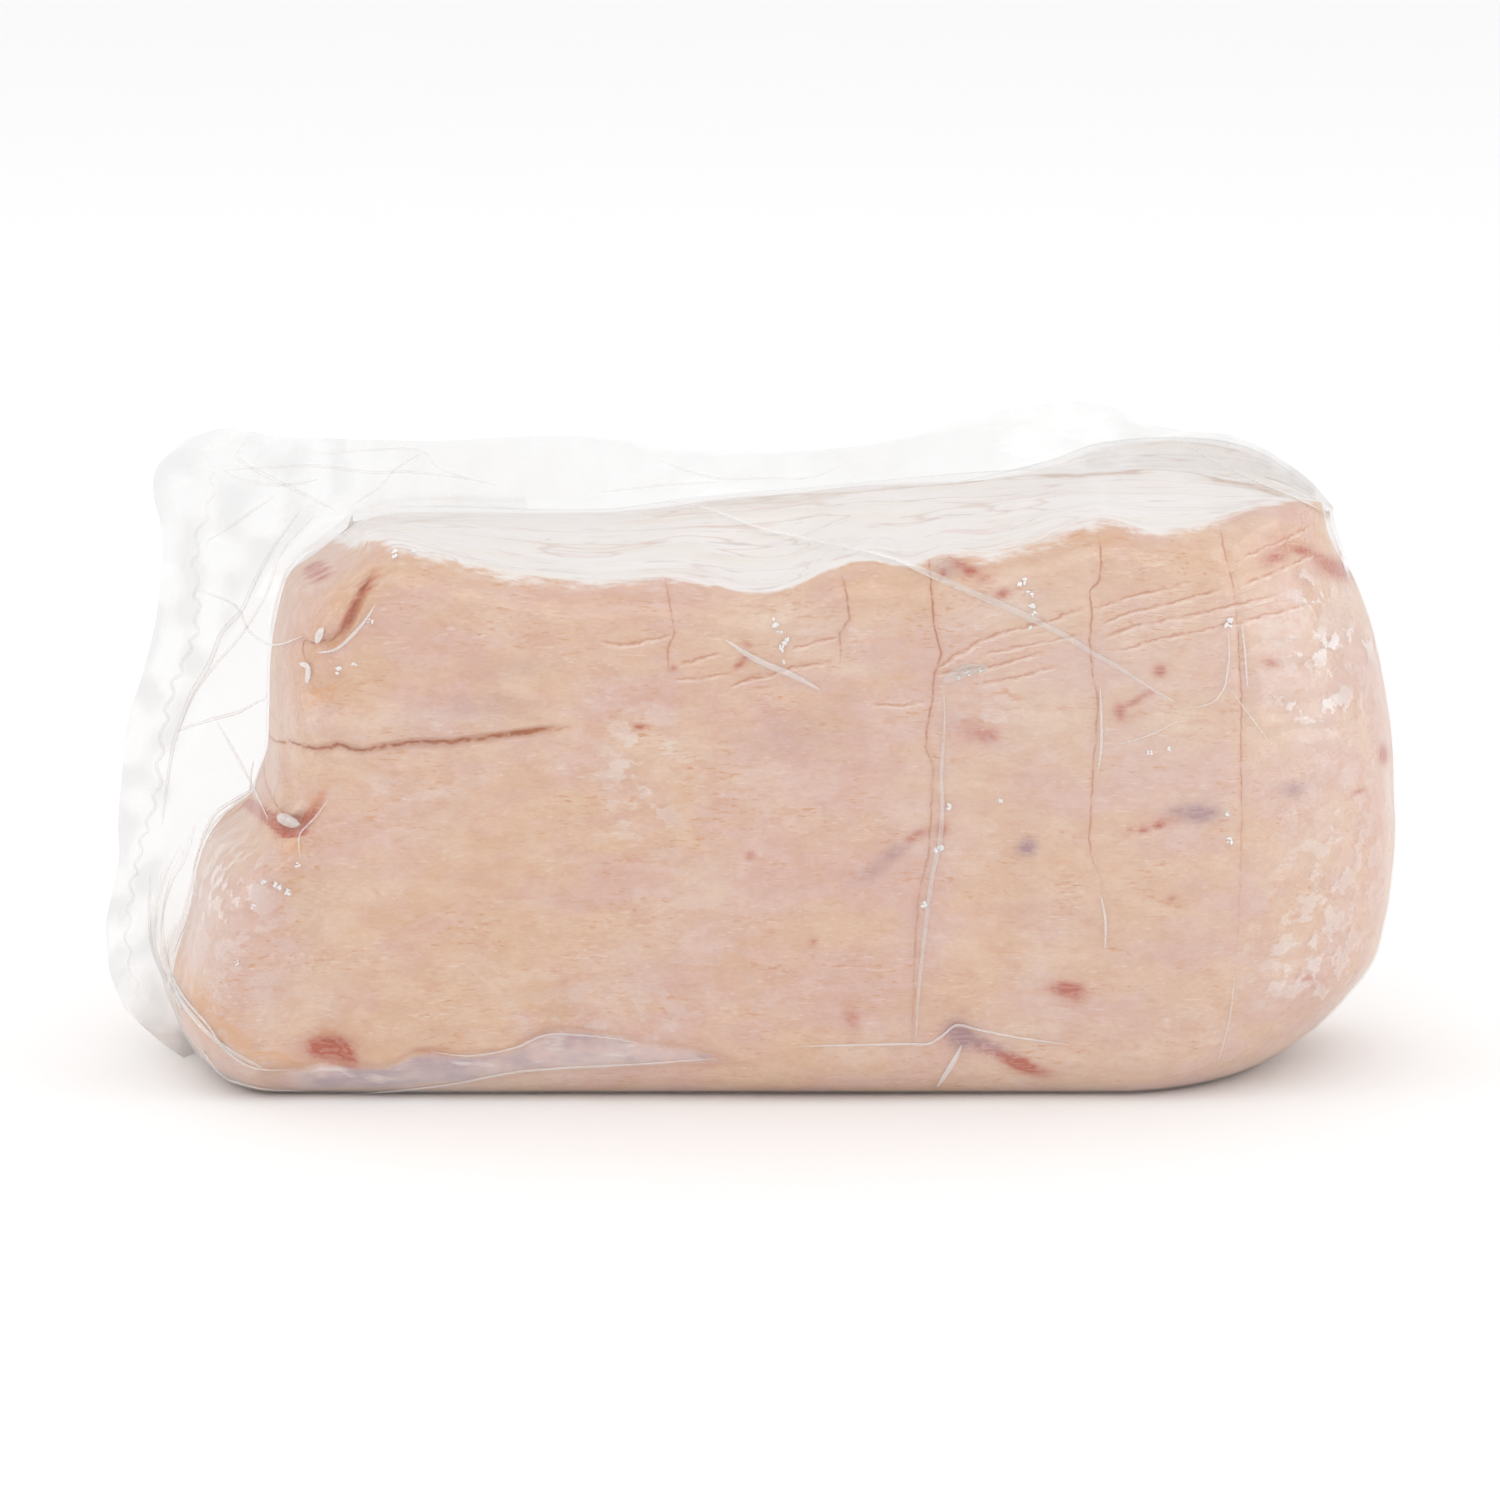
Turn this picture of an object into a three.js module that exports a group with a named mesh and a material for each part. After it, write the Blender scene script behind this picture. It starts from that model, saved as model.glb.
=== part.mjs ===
// A boneless pork roast with its rind on, shrunk tight into a clear vacuum bag, as one solid.
// The solid is the outer form of the closed bag: the block of meat, the loose web of film at its
// left end, and the flat margin of doubled film that stands up behind the top and out to the left.
//
// Frame, in millimetres: +X along the block towards its round end, +Y away from the rind side,
// +Z up. The origin is on the surface that the block stands on, under the middle of its box.
//
// The bag is two sheets, front and back, that meet all round the edge. A point of a sheet is found
// from two steps: its station along the block, and its step across the sheet, from the seam under
// the block, over the face and the top, to the edge of the margin.
import * as THREE from "three";

// Driving sizes
const FRONT_DEPTH = 63; // from the seam plane to the rind face
const BACK_DEPTH = 45; // from the seam plane to the back face
const SEAM_Y = 9.94; // the seam plane lies behind the middle of the block
const MARGIN_THICKNESS = 1.6; // doubled film, as thick as the solid can show it
const WEB_THICKNESS = 9; // film drawn off the left end of the meat, where it leaves the meat
const FOOT_RADIUS = 13; // rounding along the bottom of the rind face
const RIND_EDGE_RADIUS = 6; // rounding along the cut edge of the rind, at the top
const BACK_RADIUS = 20; // rounding along both edges of the back face
const LEFT_ROUNDING = 20; // length over which the left end of the meat rounds off
const RIGHT_ROUNDING = 62; // the same for the right end
const HALF_LENGTH = 175.5; // half the length of the whole bag
const USUAL_TOP = 150; // a first guess at how high the top of the block is
const STRAIGHT_FROM = -72; // stations stand upright from this X
const SLIT_BAND = 6; // rows close up within this distance of the slit, above and below
const MARGIN_SWAY = 3; // how far the loose margin waves out of the seam plane
const LOWER_MARGIN_FORWARD = 14; // how far its lower left corner comes forward

// Steps across a sheet, leg by leg, from the seam under the block to the edge of the margin
const ACROSS = { bottom: 2, foot: 3, low: 11, slit: 4, high: 8, edge: 2, top: 3, margin: 3 };
// Stations at the left end: margin, web, rounding, and on to where they stand upright; and round
// the right end
const ALONG = { margin: 3, web: 2, leftEnd: 9, left: 12, rightEnd: 10 };
const STATION_SPACING = 5.6; // at most this far apart, where they stand upright
const CREASE_LINES = [-5, -2.2, 0, 2.2, 5]; // stations close up to these places about a crease

// A smooth curve through a few [place, value] pairs, level beyond both ends.
function curveThrough(pairs) {
  const last = pairs.length - 1;
  const slopes = pairs.map((pair, i) => {
    const before = pairs[Math.max(i - 1, 0)];
    const after = pairs[Math.min(i + 1, last)];
    return (after[1] - before[1]) / (after[0] - before[0]);
  });
  return (place) => {
    if (place <= pairs[0][0]) return pairs[0][1];
    if (place >= pairs[last][0]) return pairs[last][1];
    const i = pairs.findIndex((pair) => pair[0] > place) - 1;
    const span = pairs[i + 1][0] - pairs[i][0];
    const t = (place - pairs[i][0]) / span;
    const rise = pairs[i + 1][1] - pairs[i][1];
    const a = slopes[i] * span - rise;
    const b = -slopes[i + 1] * span + rise;
    return pairs[i][1] + t * rise + t * (1 - t) * (a * (1 - t) + b * t);
  };
}

const mix = (a, b, t) => a + (b - a) * t;
const clamp = (value) => Math.min(Math.max(value, 0), 1);
const ease = (value) => clamp(value) ** 2 * (3 - 2 * clamp(value));
const hump = (distance, width) => Math.exp(-((distance / width) ** 2));

// Heights along the block, as [X, Z]
const rindEdgeHeight = curveThrough([
  [-125, 147], [-115, 150.3], [-104, 152.6], [-94, 151.1], [-84, 148.7], [-73, 145.5],
  [-63, 143.4], [-42, 141.5], [-21, 142.3], [-10.5, 140.7], [0, 138.8], [10.5, 140.2],
  [21, 145.5], [31, 147.6], [42, 146], [52, 148.9], [63, 149.2], [73, 151.6], [85, 155.6],
  [93, 157.4], [106, 154.8], [122.6, 155.6], [135, 158], [150, 156], [160, 150],
]);
const seamHeight = curveThrough([
  [-130, 144], [-109, 147.3], [-94, 149.5], [-40, 148.7], [-13.5, 152.3], [17.5, 155],
  [54, 158.3], [80, 159.6], [118, 160.2], [142, 156.4], [158, 148.2],
]);
const backTopHeight = curveThrough([
  [-130, 138], [-60, 142], [0, 144], [55, 152], [81, 158], [95.5, 163], [123, 164.5],
  [139, 161], [157, 149.2],
]);
const marginHeight = curveThrough([
  [-162, 166.5], [-150.5, 169], [-139, 170.8], [-129, 168.6], [-86, 168.1],
  [-64, 169.2], [-43, 168.9], [-21.5, 165.6], [0, 164.8], [21.5, 165.6], [43, 168.9],
  [54, 172.2], [64.5, 174.9], [75, 176.3], [86, 177.6], [97, 176.5], [107.5, 171.9],
  [118, 170.3], [129, 169.5], [140, 164.8], [151, 156.9], [157, 150],
]);

// End outlines, as [Z, X]
const marginEnd = curveThrough([
  [0, -154], [11, -168], [20, -173.7], [28, -175.1], [35, -175.5], [45, -173.3], [53, -171.8],
  [62, -171.9], [78, -170.2], [87, -169.3], [95, -167.5], [103, -164.6], [112, -162.1],
  [120, -160.3], [136, -158.4], [145, -158.8], [153, -160.6], [161, -159.4], [169, -150.1],
]);
const webEnd = curveThrough([
  [0, -150], [4, -152.9], [17, -159.8], [28, -161.8], [52, -159.3], [90, -153.7], [116, -140.6],
  [135, -127.7], [151, -111.6],
]);
const meatEnd = curveThrough([
  [0, -146.4], [7, -152.6], [14, -156.1], [22, -157.5], [34, -154.6], [44, -152], [54.5, -149.7],
  [62, -145.2], [67, -138.6], [71, -135.5], [76, -134.2], [84, -131.3], [96, -130.4],
  [110, -129.9], [124, -127.5], [134, -123.6], [140.5, -116], [146, -109.2],
]);
const rightEnd = curveThrough([
  [0, 141], [3, 146], [11, 156.4], [20, 165], [28, 170.6], [37, 172.9], [45, 174.3], [61, 175.5],
  [72, 175], [87, 174.2], [103, 171.7], [120, 167.6], [136, 161.1], [145, 157.8], [151, 156.8],
]);

// Where a place lies beside a path of [X, Z] points: how far off, positive to the left of the way
// the path runs, and how far along it, from 0 to 1.
function besidePath(path, x, z) {
  let nearest = { distance: Infinity };
  path.slice(1).forEach(([bx, bz], i) => {
    const [ax, az] = path[i];
    const [dx, dz] = [bx - ax, bz - az];
    const t = clamp(((x - ax) * dx + (z - az) * dz) / (dx * dx + dz * dz));
    const [ox, oz] = [x - ax - t * dx, z - az - t * dz];
    const distance = Math.hypot(ox, oz);
    if (distance < nearest.distance) {
      const side = dx * oz - dz * ox >= 0 ? 1 : -1;
      nearest = { distance, away: side * distance, along: (i + t) / (path.length - 1) };
    }
  });
  return nearest;
}

// A groove along a path, with its skin swollen beside it. It fades in and out over the given
// parts of its length.
function groove(g, x, z) {
  const { away, along } = besidePath(g.path, x, z);
  const shown = ease(along / g.fadeIn) * ease((1 - along) / g.fadeOut);
  const swell = g.leftSwell * hump(away - g.reach, g.reach) + g.rightSwell * hump(away + g.reach, g.reach);
  return shown * (swell - g.depth * hump(away, g.width));
}

// The slit that runs in from the left end between the two left lobes
const slit = {
  path: [
    [-140, 99], [-126, 98.2], [-110, 96.6], [-92, 98.2], [-71, 100.1], [-55, 101.4], [-42, 102.8],
  ],
  depth: 6, width: 2.3, fadeIn: 0.01, fadeOut: 0.55, leftSwell: 1.8, rightSwell: 0.7, reach: 6,
};
const slitHeight = curveThrough(slit.path);

// The fold that curls down through the upper left lobe and hooks to the left
const curledFold = {
  path: [
    [-97.4, 147], [-102.2, 136.7], [-104.7, 130.8], [-109.7, 125.8], [-114.7, 123.6], [-119, 122.4],
  ],
  depth: 4, width: 2.8, fadeIn: 0.25, fadeOut: 0.15, leftSwell: 1.7, rightSwell: 0, reach: 5,
};

// The notch between the lobes at the left outline
const notch = {
  path: [[-138, 85], [-133.2, 81.9], [-126.2, 75.9], [-122.3, 73.5], [-116, 74.3]],
  depth: 9, width: 4.4, fadeIn: 0.05, fadeOut: 0.5, leftSwell: 1.2, rightSwell: 2, reach: 8,
};

// Pressed creases that run down the rind, from the left one to the right one
const creases = [
  {
    path: [[47, 148], [47.1, 125.5], [49.8, 121.5], [47.2, 109.5], [46, 93.4], [46, 64], [44, 5]],
    depth: 3.2, width: 2.1, fadeIn: 0.05, fadeOut: 0.1, leftSwell: 0.9, rightSwell: 0.2, reach: 5,
  },
  {
    path: [[91.4, 158], [92.8, 141.5], [89.4, 136.2], [91.3, 109.5], [90.1, 69], [93.2, 42]],
    depth: 1.7, width: 1.8, fadeIn: 0.05, fadeOut: 0.5, leftSwell: 0.3, rightSwell: 0.3, reach: 5,
  },
  {
    path: [[124, 154], [126.2, 135.8], [127.4, 119.8], [129.5, 103.7], [129.8, 72], [129, 40]],
    depth: 1.4, width: 1.8, fadeIn: 0.1, fadeOut: 0.6, leftSwell: 0.3, rightSwell: 0.3, reach: 5,
  },
];

// Round hollows and swellings: X, Z, half widths, and how far out
const swellings = [
  [-119, 50, 6, 26, -3], // valley beside the lower left lobe
  [-138, 45, 11, 26, 1],
  [-114, 110, 6, 4.5, -2.2], // dent in the upper left lobe
  [-92, 122, 16, 14, 1],
  [-111, 14, 5, 8, -4.5], // pinches in the foot of the rind
  [-86, 11, 6, 6, -2.8],
  [-50, 16, 6, 8, -2.4],
  [66, 52, 8, 34, -2], // hollow beside the long crease
  [55, 15, 5, 8, -2.6],
  [-30, 70, 55, 40, 1],
  [108, 66, 26, 42, 1],
];

function rindRelief(x, z) {
  const folds = [slit, curledFold, notch, ...creases];
  const rolls = swellings.map(([cx, cz, wx, wz, out]) => out * hump(x - cx, wx) * hump(z - cz, wz));
  const undulation = 0.5 * Math.sin(x / 19 + z / 27) + 0.4 * Math.sin(x / 31 - z / 17 + 2);
  const all = [undulation, ...folds.map((fold) => groove(fold, x, z)), ...rolls];
  return all.reduce((sum, out) => sum + out, 0);
}

// The back is pressed flatter, with a few broad swells.
const backRelief = (x, z) => 0.9 * Math.sin(x / 31) * Math.sin(z / 38) - 0.9;

// One sheet's form: its depth, the rounding at its foot and its upper edge, and its heights.
const front = {
  side: -1, depth: FRONT_DEPTH, foot: FOOT_RADIUS, edge: RIND_EDGE_RADIUS,
  edgeHeight: rindEdgeHeight, relief: rindRelief,
};
const back = {
  side: 1, depth: BACK_DEPTH, foot: BACK_RADIUS, edge: BACK_RADIUS,
  edgeHeight: backTopHeight, relief: backRelief,
};

// The legs of the full section at X, each with its number of steps and a rule that gives, part way
// along the leg, the distance from the seam plane and the height.
function sectionLegs(sheet, x) {
  const { depth, foot, edge } = sheet;
  const quarter = Math.PI / 2;
  const film = MARGIN_THICKNESS / 2;
  const top = sheet.edgeHeight(x);
  const seam = seamHeight(x);
  const slitZ = slitHeight(x);
  const fromSlit = (t) => SLIT_BAND * Math.sign(t - 0.5) * Math.abs(2 * t - 1) ** 1.5;
  return [
    [ACROSS.bottom, (t) => [t * (depth - foot), 0]],
    [ACROSS.foot, (t) => [
      depth - foot * (1 - Math.sin(t * quarter)),
      foot * (1 - Math.cos(t * quarter)),
    ]],
    [ACROSS.low, (t) => [depth, mix(foot, slitZ - SLIT_BAND, t)]],
    [ACROSS.slit, (t) => [depth, slitZ + fromSlit(t)]],
    [ACROSS.high, (t) => [depth, mix(slitZ + SLIT_BAND, top - edge, t)]],
    [ACROSS.edge, (t) => [
      depth - edge * (1 - Math.cos(t * quarter)),
      top - edge * (1 - Math.sin(t * quarter)),
    ]],
    [ACROSS.top, (t) => [mix(depth - edge, film, t), mix(top, seam, ease(t))]],
    [ACROSS.margin, (t) => [t < 1 ? film : 0, mix(seam, marginHeight(x), t)]],
  ];
}

function sectionPoint(sheet, step, x) {
  let rest = step;
  for (const [steps, rule] of sectionLegs(sheet, x)) {
    if (rest <= steps) return rule(rest / steps);
    rest -= steps;
  }
}

const stepsAcross = Object.values(ACROSS).reduce((sum, steps) => sum + steps, 0);
const stepsOnMeat = stepsAcross - ACROSS.margin;

// Heights spread evenly up the margin, for the ends where the section has no depth.
function flatHeight(step, x) {
  return step <= stepsOnMeat
    ? (step / stepsOnMeat) * seamHeight(x)
    : mix(seamHeight(x), marginHeight(x), (step - stepsOnMeat) / ACROSS.margin);
}

const meatStart = (z) => Math.max(meatEnd(z), webEnd(z) + 1.5);

// Stations along the bag. Each has the rule that places it at a height, how full its section is,
// how far that section has turned into the flat margin, and how loose its film hangs. Only the
// outer stations of the two ends have no rim: the sheets meet there.
function stations() {
  const list = [];
  const webShare = WEB_THICKNESS / (2 * FRONT_DEPTH);
  const add = (steps, make, first = 1) => {
    for (let i = first; i <= steps; i++) list.push({ rim: 1, flat: 0, loose: 0, ...make(i / steps) });
  };
  add(ALONG.margin, (t) => ({
    full: 0, flat: 1, rim: t > 0 ? 1 : 0, loose: 1 - 0.5 * t,
    place: (z) => mix(marginEnd(z), webEnd(z), t),
  }), 0);
  add(ALONG.web, (t) => ({
    full: webShare * t, flat: 1 - 0.5 * t, loose: 0.5 * (1 - t),
    place: (z) => mix(webEnd(z), meatStart(z), t),
  }));
  add(ALONG.leftEnd, (t) => ({
    full: mix(webShare, 1, Math.sin(t * Math.PI / 2)), flat: 0.5 * (1 - t) ** 2,
    place: (z) => meatStart(z) + LEFT_ROUNDING * (1 - Math.cos(t * Math.PI / 2)),
  }));
  add(ALONG.left, (t) => ({
    full: 1, place: (z) => mix(meatStart(z) + LEFT_ROUNDING, STRAIGHT_FROM, t),
  }));
  const upright = uprightPlaces();
  add(upright.length, (t) => {
    const x = upright[Math.round(t * upright.length) - 1];
    const turn = clamp((x - HALF_LENGTH + RIGHT_ROUNDING) / RIGHT_ROUNDING);
    return {
      full: (1 - turn * turn) ** 0.43, flat: ease((turn - 0.93) / 0.07), rim: turn < 1 ? 1 : 0,
      place: (z) => leaned(alongCreases(x, z), z),
    };
  });
  return list;
}

// The stations follow the creases that they are next to.
function alongCreases(x, z) {
  return creases.reduce((place, crease) => {
    const middle = crease.path[3][0];
    return place + (creaseX(crease, z) - middle) * hump(x - middle, 13);
  }, x);
}

// Where a crease is at a height: its path, read downwards.
function creaseX(crease, z) {
  const path = crease.path;
  if (z >= path[0][1]) return path[0][0];
  const i = path.findIndex((point) => point[1] <= z);
  if (i < 0) return path[path.length - 1][0];
  return mix(path[i - 1][0], path[i][0], (path[i - 1][1] - z) / (path[i - 1][1] - path[i][1]));
}

// X of the upright stations: close at the creases, evenly spaced between them, and closing up
// round the right end.
function uprightPlaces() {
  const stops = creases.flatMap((crease) => CREASE_LINES.map((off) => crease.path[3][0] + off));
  const places = [];
  let from = STRAIGHT_FROM;
  for (const stop of stops) {
    const steps = Math.ceil((stop - from) / STATION_SPACING);
    for (let i = 1; i <= steps; i++) places.push(mix(from, stop, i / steps));
    from = stop;
  }
  const roundFrom = HALF_LENGTH - RIGHT_ROUNDING;
  const firstAngle = Math.asin((from - roundFrom) / RIGHT_ROUNDING);
  for (let i = 1; i <= ALONG.rightEnd; i++) {
    const angle = mix(firstAngle, Math.PI / 2, i / ALONG.rightEnd);
    places.push(roundFrom + RIGHT_ROUNDING * Math.sin(angle));
  }
  return places;
}

// Towards the right end, stations lean until the last one is the right outline.
function leaned(x, z) {
  return x + (rightEnd(z) - HALF_LENGTH) * ease((x - 70) / (HALF_LENGTH - 70)) ** 0.8;
}

// Loose film waves out of the seam plane, and the lower left of it comes forward.
function marginSway(x, z) {
  const waves = 0.7 * Math.sin(x / 17 + z / 60) + 0.5 * Math.sin(x / 41 - z / 23 + 1);
  return MARGIN_SWAY * waves - LOWER_MARGIN_FORWARD * hump(z, 30) * ease((-130 - x) / 30);
}

// A sheet's point at a station: the full section shrunk towards the seam plane by the station's
// fullness, and turned into the flat margin by its flatness.
function sheetPoint(sheet, step, station) {
  const near = station.place(USUAL_TOP);
  const [, nearZ] = sectionPoint(sheet, step, near);
  const across = station.place(Math.max(nearZ, USUAL_TOP));
  const [sectionOut, sectionZ] = sectionPoint(sheet, step, across);
  const z = mix(sectionZ, flatHeight(step, across), station.flat);
  const x = station.place(z);
  const onFace = ease((step - ACROSS.bottom) / 2) * ease((stepsOnMeat - ACROSS.top + 1 - step) / 2);
  const film = MARGIN_THICKNESS / 2;
  const thin = Math.min(sectionOut, film);
  const body = (sectionOut + onFace * sheet.relief(x, z) - thin) * station.full;
  const flatThin = step > 0 && step < stepsAcross ? film : 0;
  const out = station.rim * mix(thin, flatThin, station.flat) + body;
  const loose = Math.max(station.loose, (step - stepsOnMeat) / ACROSS.margin);
  return [x, SEAM_Y + sheet.side * Math.max(out, 0) + loose * marginSway(x, z), z];
}

// Both sheets share the points of their common edge: the seam under the block, the edge of the
// margin, and the first and last stations. Each four-sided cell is halved so that the halves at
// the corners of the sheet reach in from the edge.
function bagGeometry() {
  const line = stations();
  const lastAlong = line.length - 1;
  const positions = [];
  const indices = [];
  const shared = new Map();
  const pointIndex = (sheet, step, i) => {
    const onEdge = step === 0 || step === stepsAcross || i === 0 || i === lastAlong;
    const key = `${onEdge ? 0 : sheet.side},${step},${i}`;
    if (!shared.has(key)) {
      shared.set(key, positions.length / 3);
      positions.push(...sheetPoint(sheet, step, line[i]));
    }
    return shared.get(key);
  };
  for (const sheet of [front, back]) {
    for (let i = 0; i < lastAlong; i++) {
      for (let step = 0; step < stepsAcross; step++) {
        const a = pointIndex(sheet, step, i);
        const b = pointIndex(sheet, step, i + 1);
        const c = pointIndex(sheet, step + 1, i + 1);
        const d = pointIndex(sheet, step + 1, i);
        const upper = step > stepsAcross / 2;
        const left = i < lastAlong / 2;
        const halves = upper === left ? [[a, b, d], [b, c, d]] : [[a, b, c], [a, c, d]];
        for (const [p, q, r] of halves) indices.push(...(sheet.side < 0 ? [p, q, r] : [p, r, q]));
      }
    }
  }
  const geometry = new THREE.BufferGeometry();
  geometry.setAttribute("position", new THREE.Float32BufferAttribute(positions, 3));
  geometry.setIndex(indices);
  geometry.computeVertexNormals();
  return geometry;
}

const bagMaterial = new THREE.MeshStandardMaterial({
  color: new THREE.Color(0.71, 0.48, 0.36), roughness: 0.25, metalness: 0,
});

const packedRoast = new THREE.Mesh(bagGeometry(), bagMaterial);
packedRoast.name = "vacuum_packed_roast";

const part = new THREE.Group();
part.add(packedRoast);

export default part;
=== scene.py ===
"""A boneless pork roast with its rind on, shrunk tight into a clear vacuum bag.

The meat, the bag and the pleats of its film replace the one solid of the frame. All three follow
the same two sheets, front and back, as the solid does: a point of a sheet is found from its
station along the block and its step across the sheet. Lengths are in millimetres until a mesh is
filled.
"""
import math
from collections import namedtuple

import bpy
import numpy as np
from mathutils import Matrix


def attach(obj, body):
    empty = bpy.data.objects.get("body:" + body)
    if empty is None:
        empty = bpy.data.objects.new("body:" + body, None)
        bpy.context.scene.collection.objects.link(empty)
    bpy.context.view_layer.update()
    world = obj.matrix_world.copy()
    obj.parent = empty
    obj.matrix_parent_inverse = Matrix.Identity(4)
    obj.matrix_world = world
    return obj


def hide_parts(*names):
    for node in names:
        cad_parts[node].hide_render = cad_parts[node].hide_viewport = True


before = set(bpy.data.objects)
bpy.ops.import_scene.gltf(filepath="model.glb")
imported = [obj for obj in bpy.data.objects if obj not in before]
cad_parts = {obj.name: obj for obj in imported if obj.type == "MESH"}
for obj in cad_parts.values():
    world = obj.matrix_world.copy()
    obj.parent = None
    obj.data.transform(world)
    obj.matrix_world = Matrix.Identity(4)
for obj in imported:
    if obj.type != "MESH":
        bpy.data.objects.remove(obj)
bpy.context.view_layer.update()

bl_info = {
    "name": "Vacuum-packed pork roast",
    "version": (1, 0, 0),
    "blender": (4, 5, 0),
    "location": "3D View > Sidebar > Pork Roast",
    "description": "Builds a boneless pork roast in its clear vacuum bag",
    "category": "Add Mesh",
}

SOLID = "vacuum_packed_roast"

# Driving sizes, in millimetres
FRONT_DEPTH = 63.0  # from the seam plane to the rind face
BACK_DEPTH = 45.0  # from the seam plane to the back face
SEAM_Y = 9.94  # the seam plane lies behind the middle of the block
WEB_THICKNESS = 9.0  # film drawn off the left end of the meat, where it leaves the meat
FOOT_RADIUS = 13.0  # rounding along the bottom of the rind face
RIND_EDGE_RADIUS = 12.0  # rounding along the cut edge of the rind, at the top
BACK_RADIUS = 20.0  # rounding along both edges of the back face
LEFT_ROUNDING = 20.0  # length over which the left end of the meat rounds off
RIGHT_ROUNDING = 62.0  # the same for the right end
HALF_LENGTH = 175.5  # half the length of the whole bag
USUAL_TOP = 150.0  # a first guess at how high the top of the block is
STRAIGHT_FROM = -72.0  # stations stand upright from this X
SLIT_BAND = 6.0  # rows close up within this distance of the slit
MARGIN_SWAY = 3.0  # how far the loose margin waves out of the seam plane
LOWER_MARGIN_FORWARD = 14.0  # how far its lower left corner comes forward
FRONT_PLANE = -53.5  # Y at which places on the rind face were measured
HALF_FILM = 0.3  # half the thickness of the loose margin
FAT_SINK = 0.9  # how far the fat on top lies below the film
FAR = 9.0  # distances to the folds and lines of the rind are not followed past this
WRINKLE_REACH = 2.5  # a wrinkle shows up to this distance
BACK_RUN = 16.0  # what a step of the back sheet counts for as a length up it
OUT_OF_SIGHT = 1e6  # where points that face away from the camera are put
SEAL_SPACING = 0.5  # from point to point of the welded seam
# Each glint blister is a few small lenses, hazed white as a painted highlight
LENSES = 4  # number in each blister of the film
PLEAT_SIDES = 8  # corners of the cross-section of a pleat

# Steps across a sheet, leg by leg, from the seam under the block to the edge of the margin
STEPS = {"bottom": 2, "foot": 3, "low": 11, "slit": 4, "high": 8, "edge": 2, "top": 3, "margin": 3}
MEAT_STEPS = sum(STEPS.values()) - STEPS["margin"]
EDGE_STEP = MEAT_STEPS - STEPS["top"] - STEPS["edge"] / 2  # the cut edge of the rind
# Rows of the front sheet in each leg. The back sheet takes every fourth of them.
MEAT_ROWS = {"bottom": 8, "foot": 12, "low": 64, "slit": 24, "high": 40, "edge": 8, "top": 28}
BAG_ROWS = {
    "bottom": 8, "foot": 8, "low": 52, "slit": 20, "high": 40, "edge": 8, "top": 24, "margin": 12,
}
FINE_PER_COARSE = 4
WEB_SHARE = WEB_THICKNESS / (2 * FRONT_DEPTH)  # how full the meat's end is where the web leaves it
CLOSE_PLACES = (-21, 24.5, 46.5, 90.5)  # X of creases and lobes, where stations stand closer
SHARP_ANGLE = math.radians(75)  # edges sharper than this keep their corner


def mix(a, b, t):
    return a + (b - a) * t


def ease(value):
    t = np.clip(value, 0.0, 1.0)
    return t * t * (3.0 - 2.0 * t)


def hump(distance, width):
    return np.exp(-((distance / width) ** 2))


def curve_through(pairs):
    """A smooth curve through a few [place, value] pairs: a cubic between neighbours whose slopes
    are those of the chords across each pair, level beyond both ends."""
    places, values = np.array(pairs, float).T
    before = np.maximum(np.arange(len(places)) - 1, 0)
    after = np.minimum(np.arange(len(places)) + 1, len(places) - 1)
    slopes = (values[after] - values[before]) / (places[after] - places[before])

    def at(place):
        place = np.clip(place, places[0], places[-1])
        i = np.clip(np.searchsorted(places, place, side="right") - 1, 0, len(places) - 2)
        span = places[i + 1] - places[i]
        t = (place - places[i]) / span
        rise = values[i + 1] - values[i]
        a = slopes[i] * span - rise
        b = rise - slopes[i + 1] * span
        return values[i] + t * rise + t * (1.0 - t) * (a * (1.0 - t) + b * t)

    return at


# Heights along the block, as [X, Z]
rind_edge_height = curve_through([
    [-125, 147], [-115, 150.3], [-104, 152.6], [-94, 151.1], [-84, 148.7], [-73, 145.5],
    [-63, 143.4], [-42, 141.5], [-21, 142.3], [-10.5, 140.7], [0, 138.8], [10.5, 140.2],
    [21, 145.5], [31, 147.6], [42, 146], [52, 148.9], [63, 149.2], [73, 151.6], [85, 155.6],
    [93, 157.4], [106, 154.8], [122.6, 155.6], [135, 158], [150, 156], [160, 150],
])
seam_height = curve_through([
    [-130, 144], [-109, 147.3], [-94, 149.5], [-40, 148.7], [-13.5, 152.3], [17.5, 155],
    [54, 158.3], [80, 159.6], [118, 160.2], [142, 156.4], [158, 148.2],
])
back_top_height = curve_through([
    [-130, 138], [-60, 142], [0, 144], [55, 152], [81, 158], [95.5, 163], [123, 164.5],
    [139, 161], [157, 149.2],
])
margin_height = curve_through([
    [-162, 166.5], [-150.5, 169], [-139, 170.8], [-129, 168.6], [-86, 168.1],
    [-64, 169.2], [-43, 168.9], [-21.5, 165.6], [0, 164.8], [21.5, 165.6], [43, 168.9],
    [54, 172.2], [64.5, 174.9], [75, 176.3], [86, 177.6], [97, 176.5], [107.5, 171.9],
    [118, 170.3], [129, 169.5], [140, 164.8], [151, 156.9], [157, 150],
])

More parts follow.
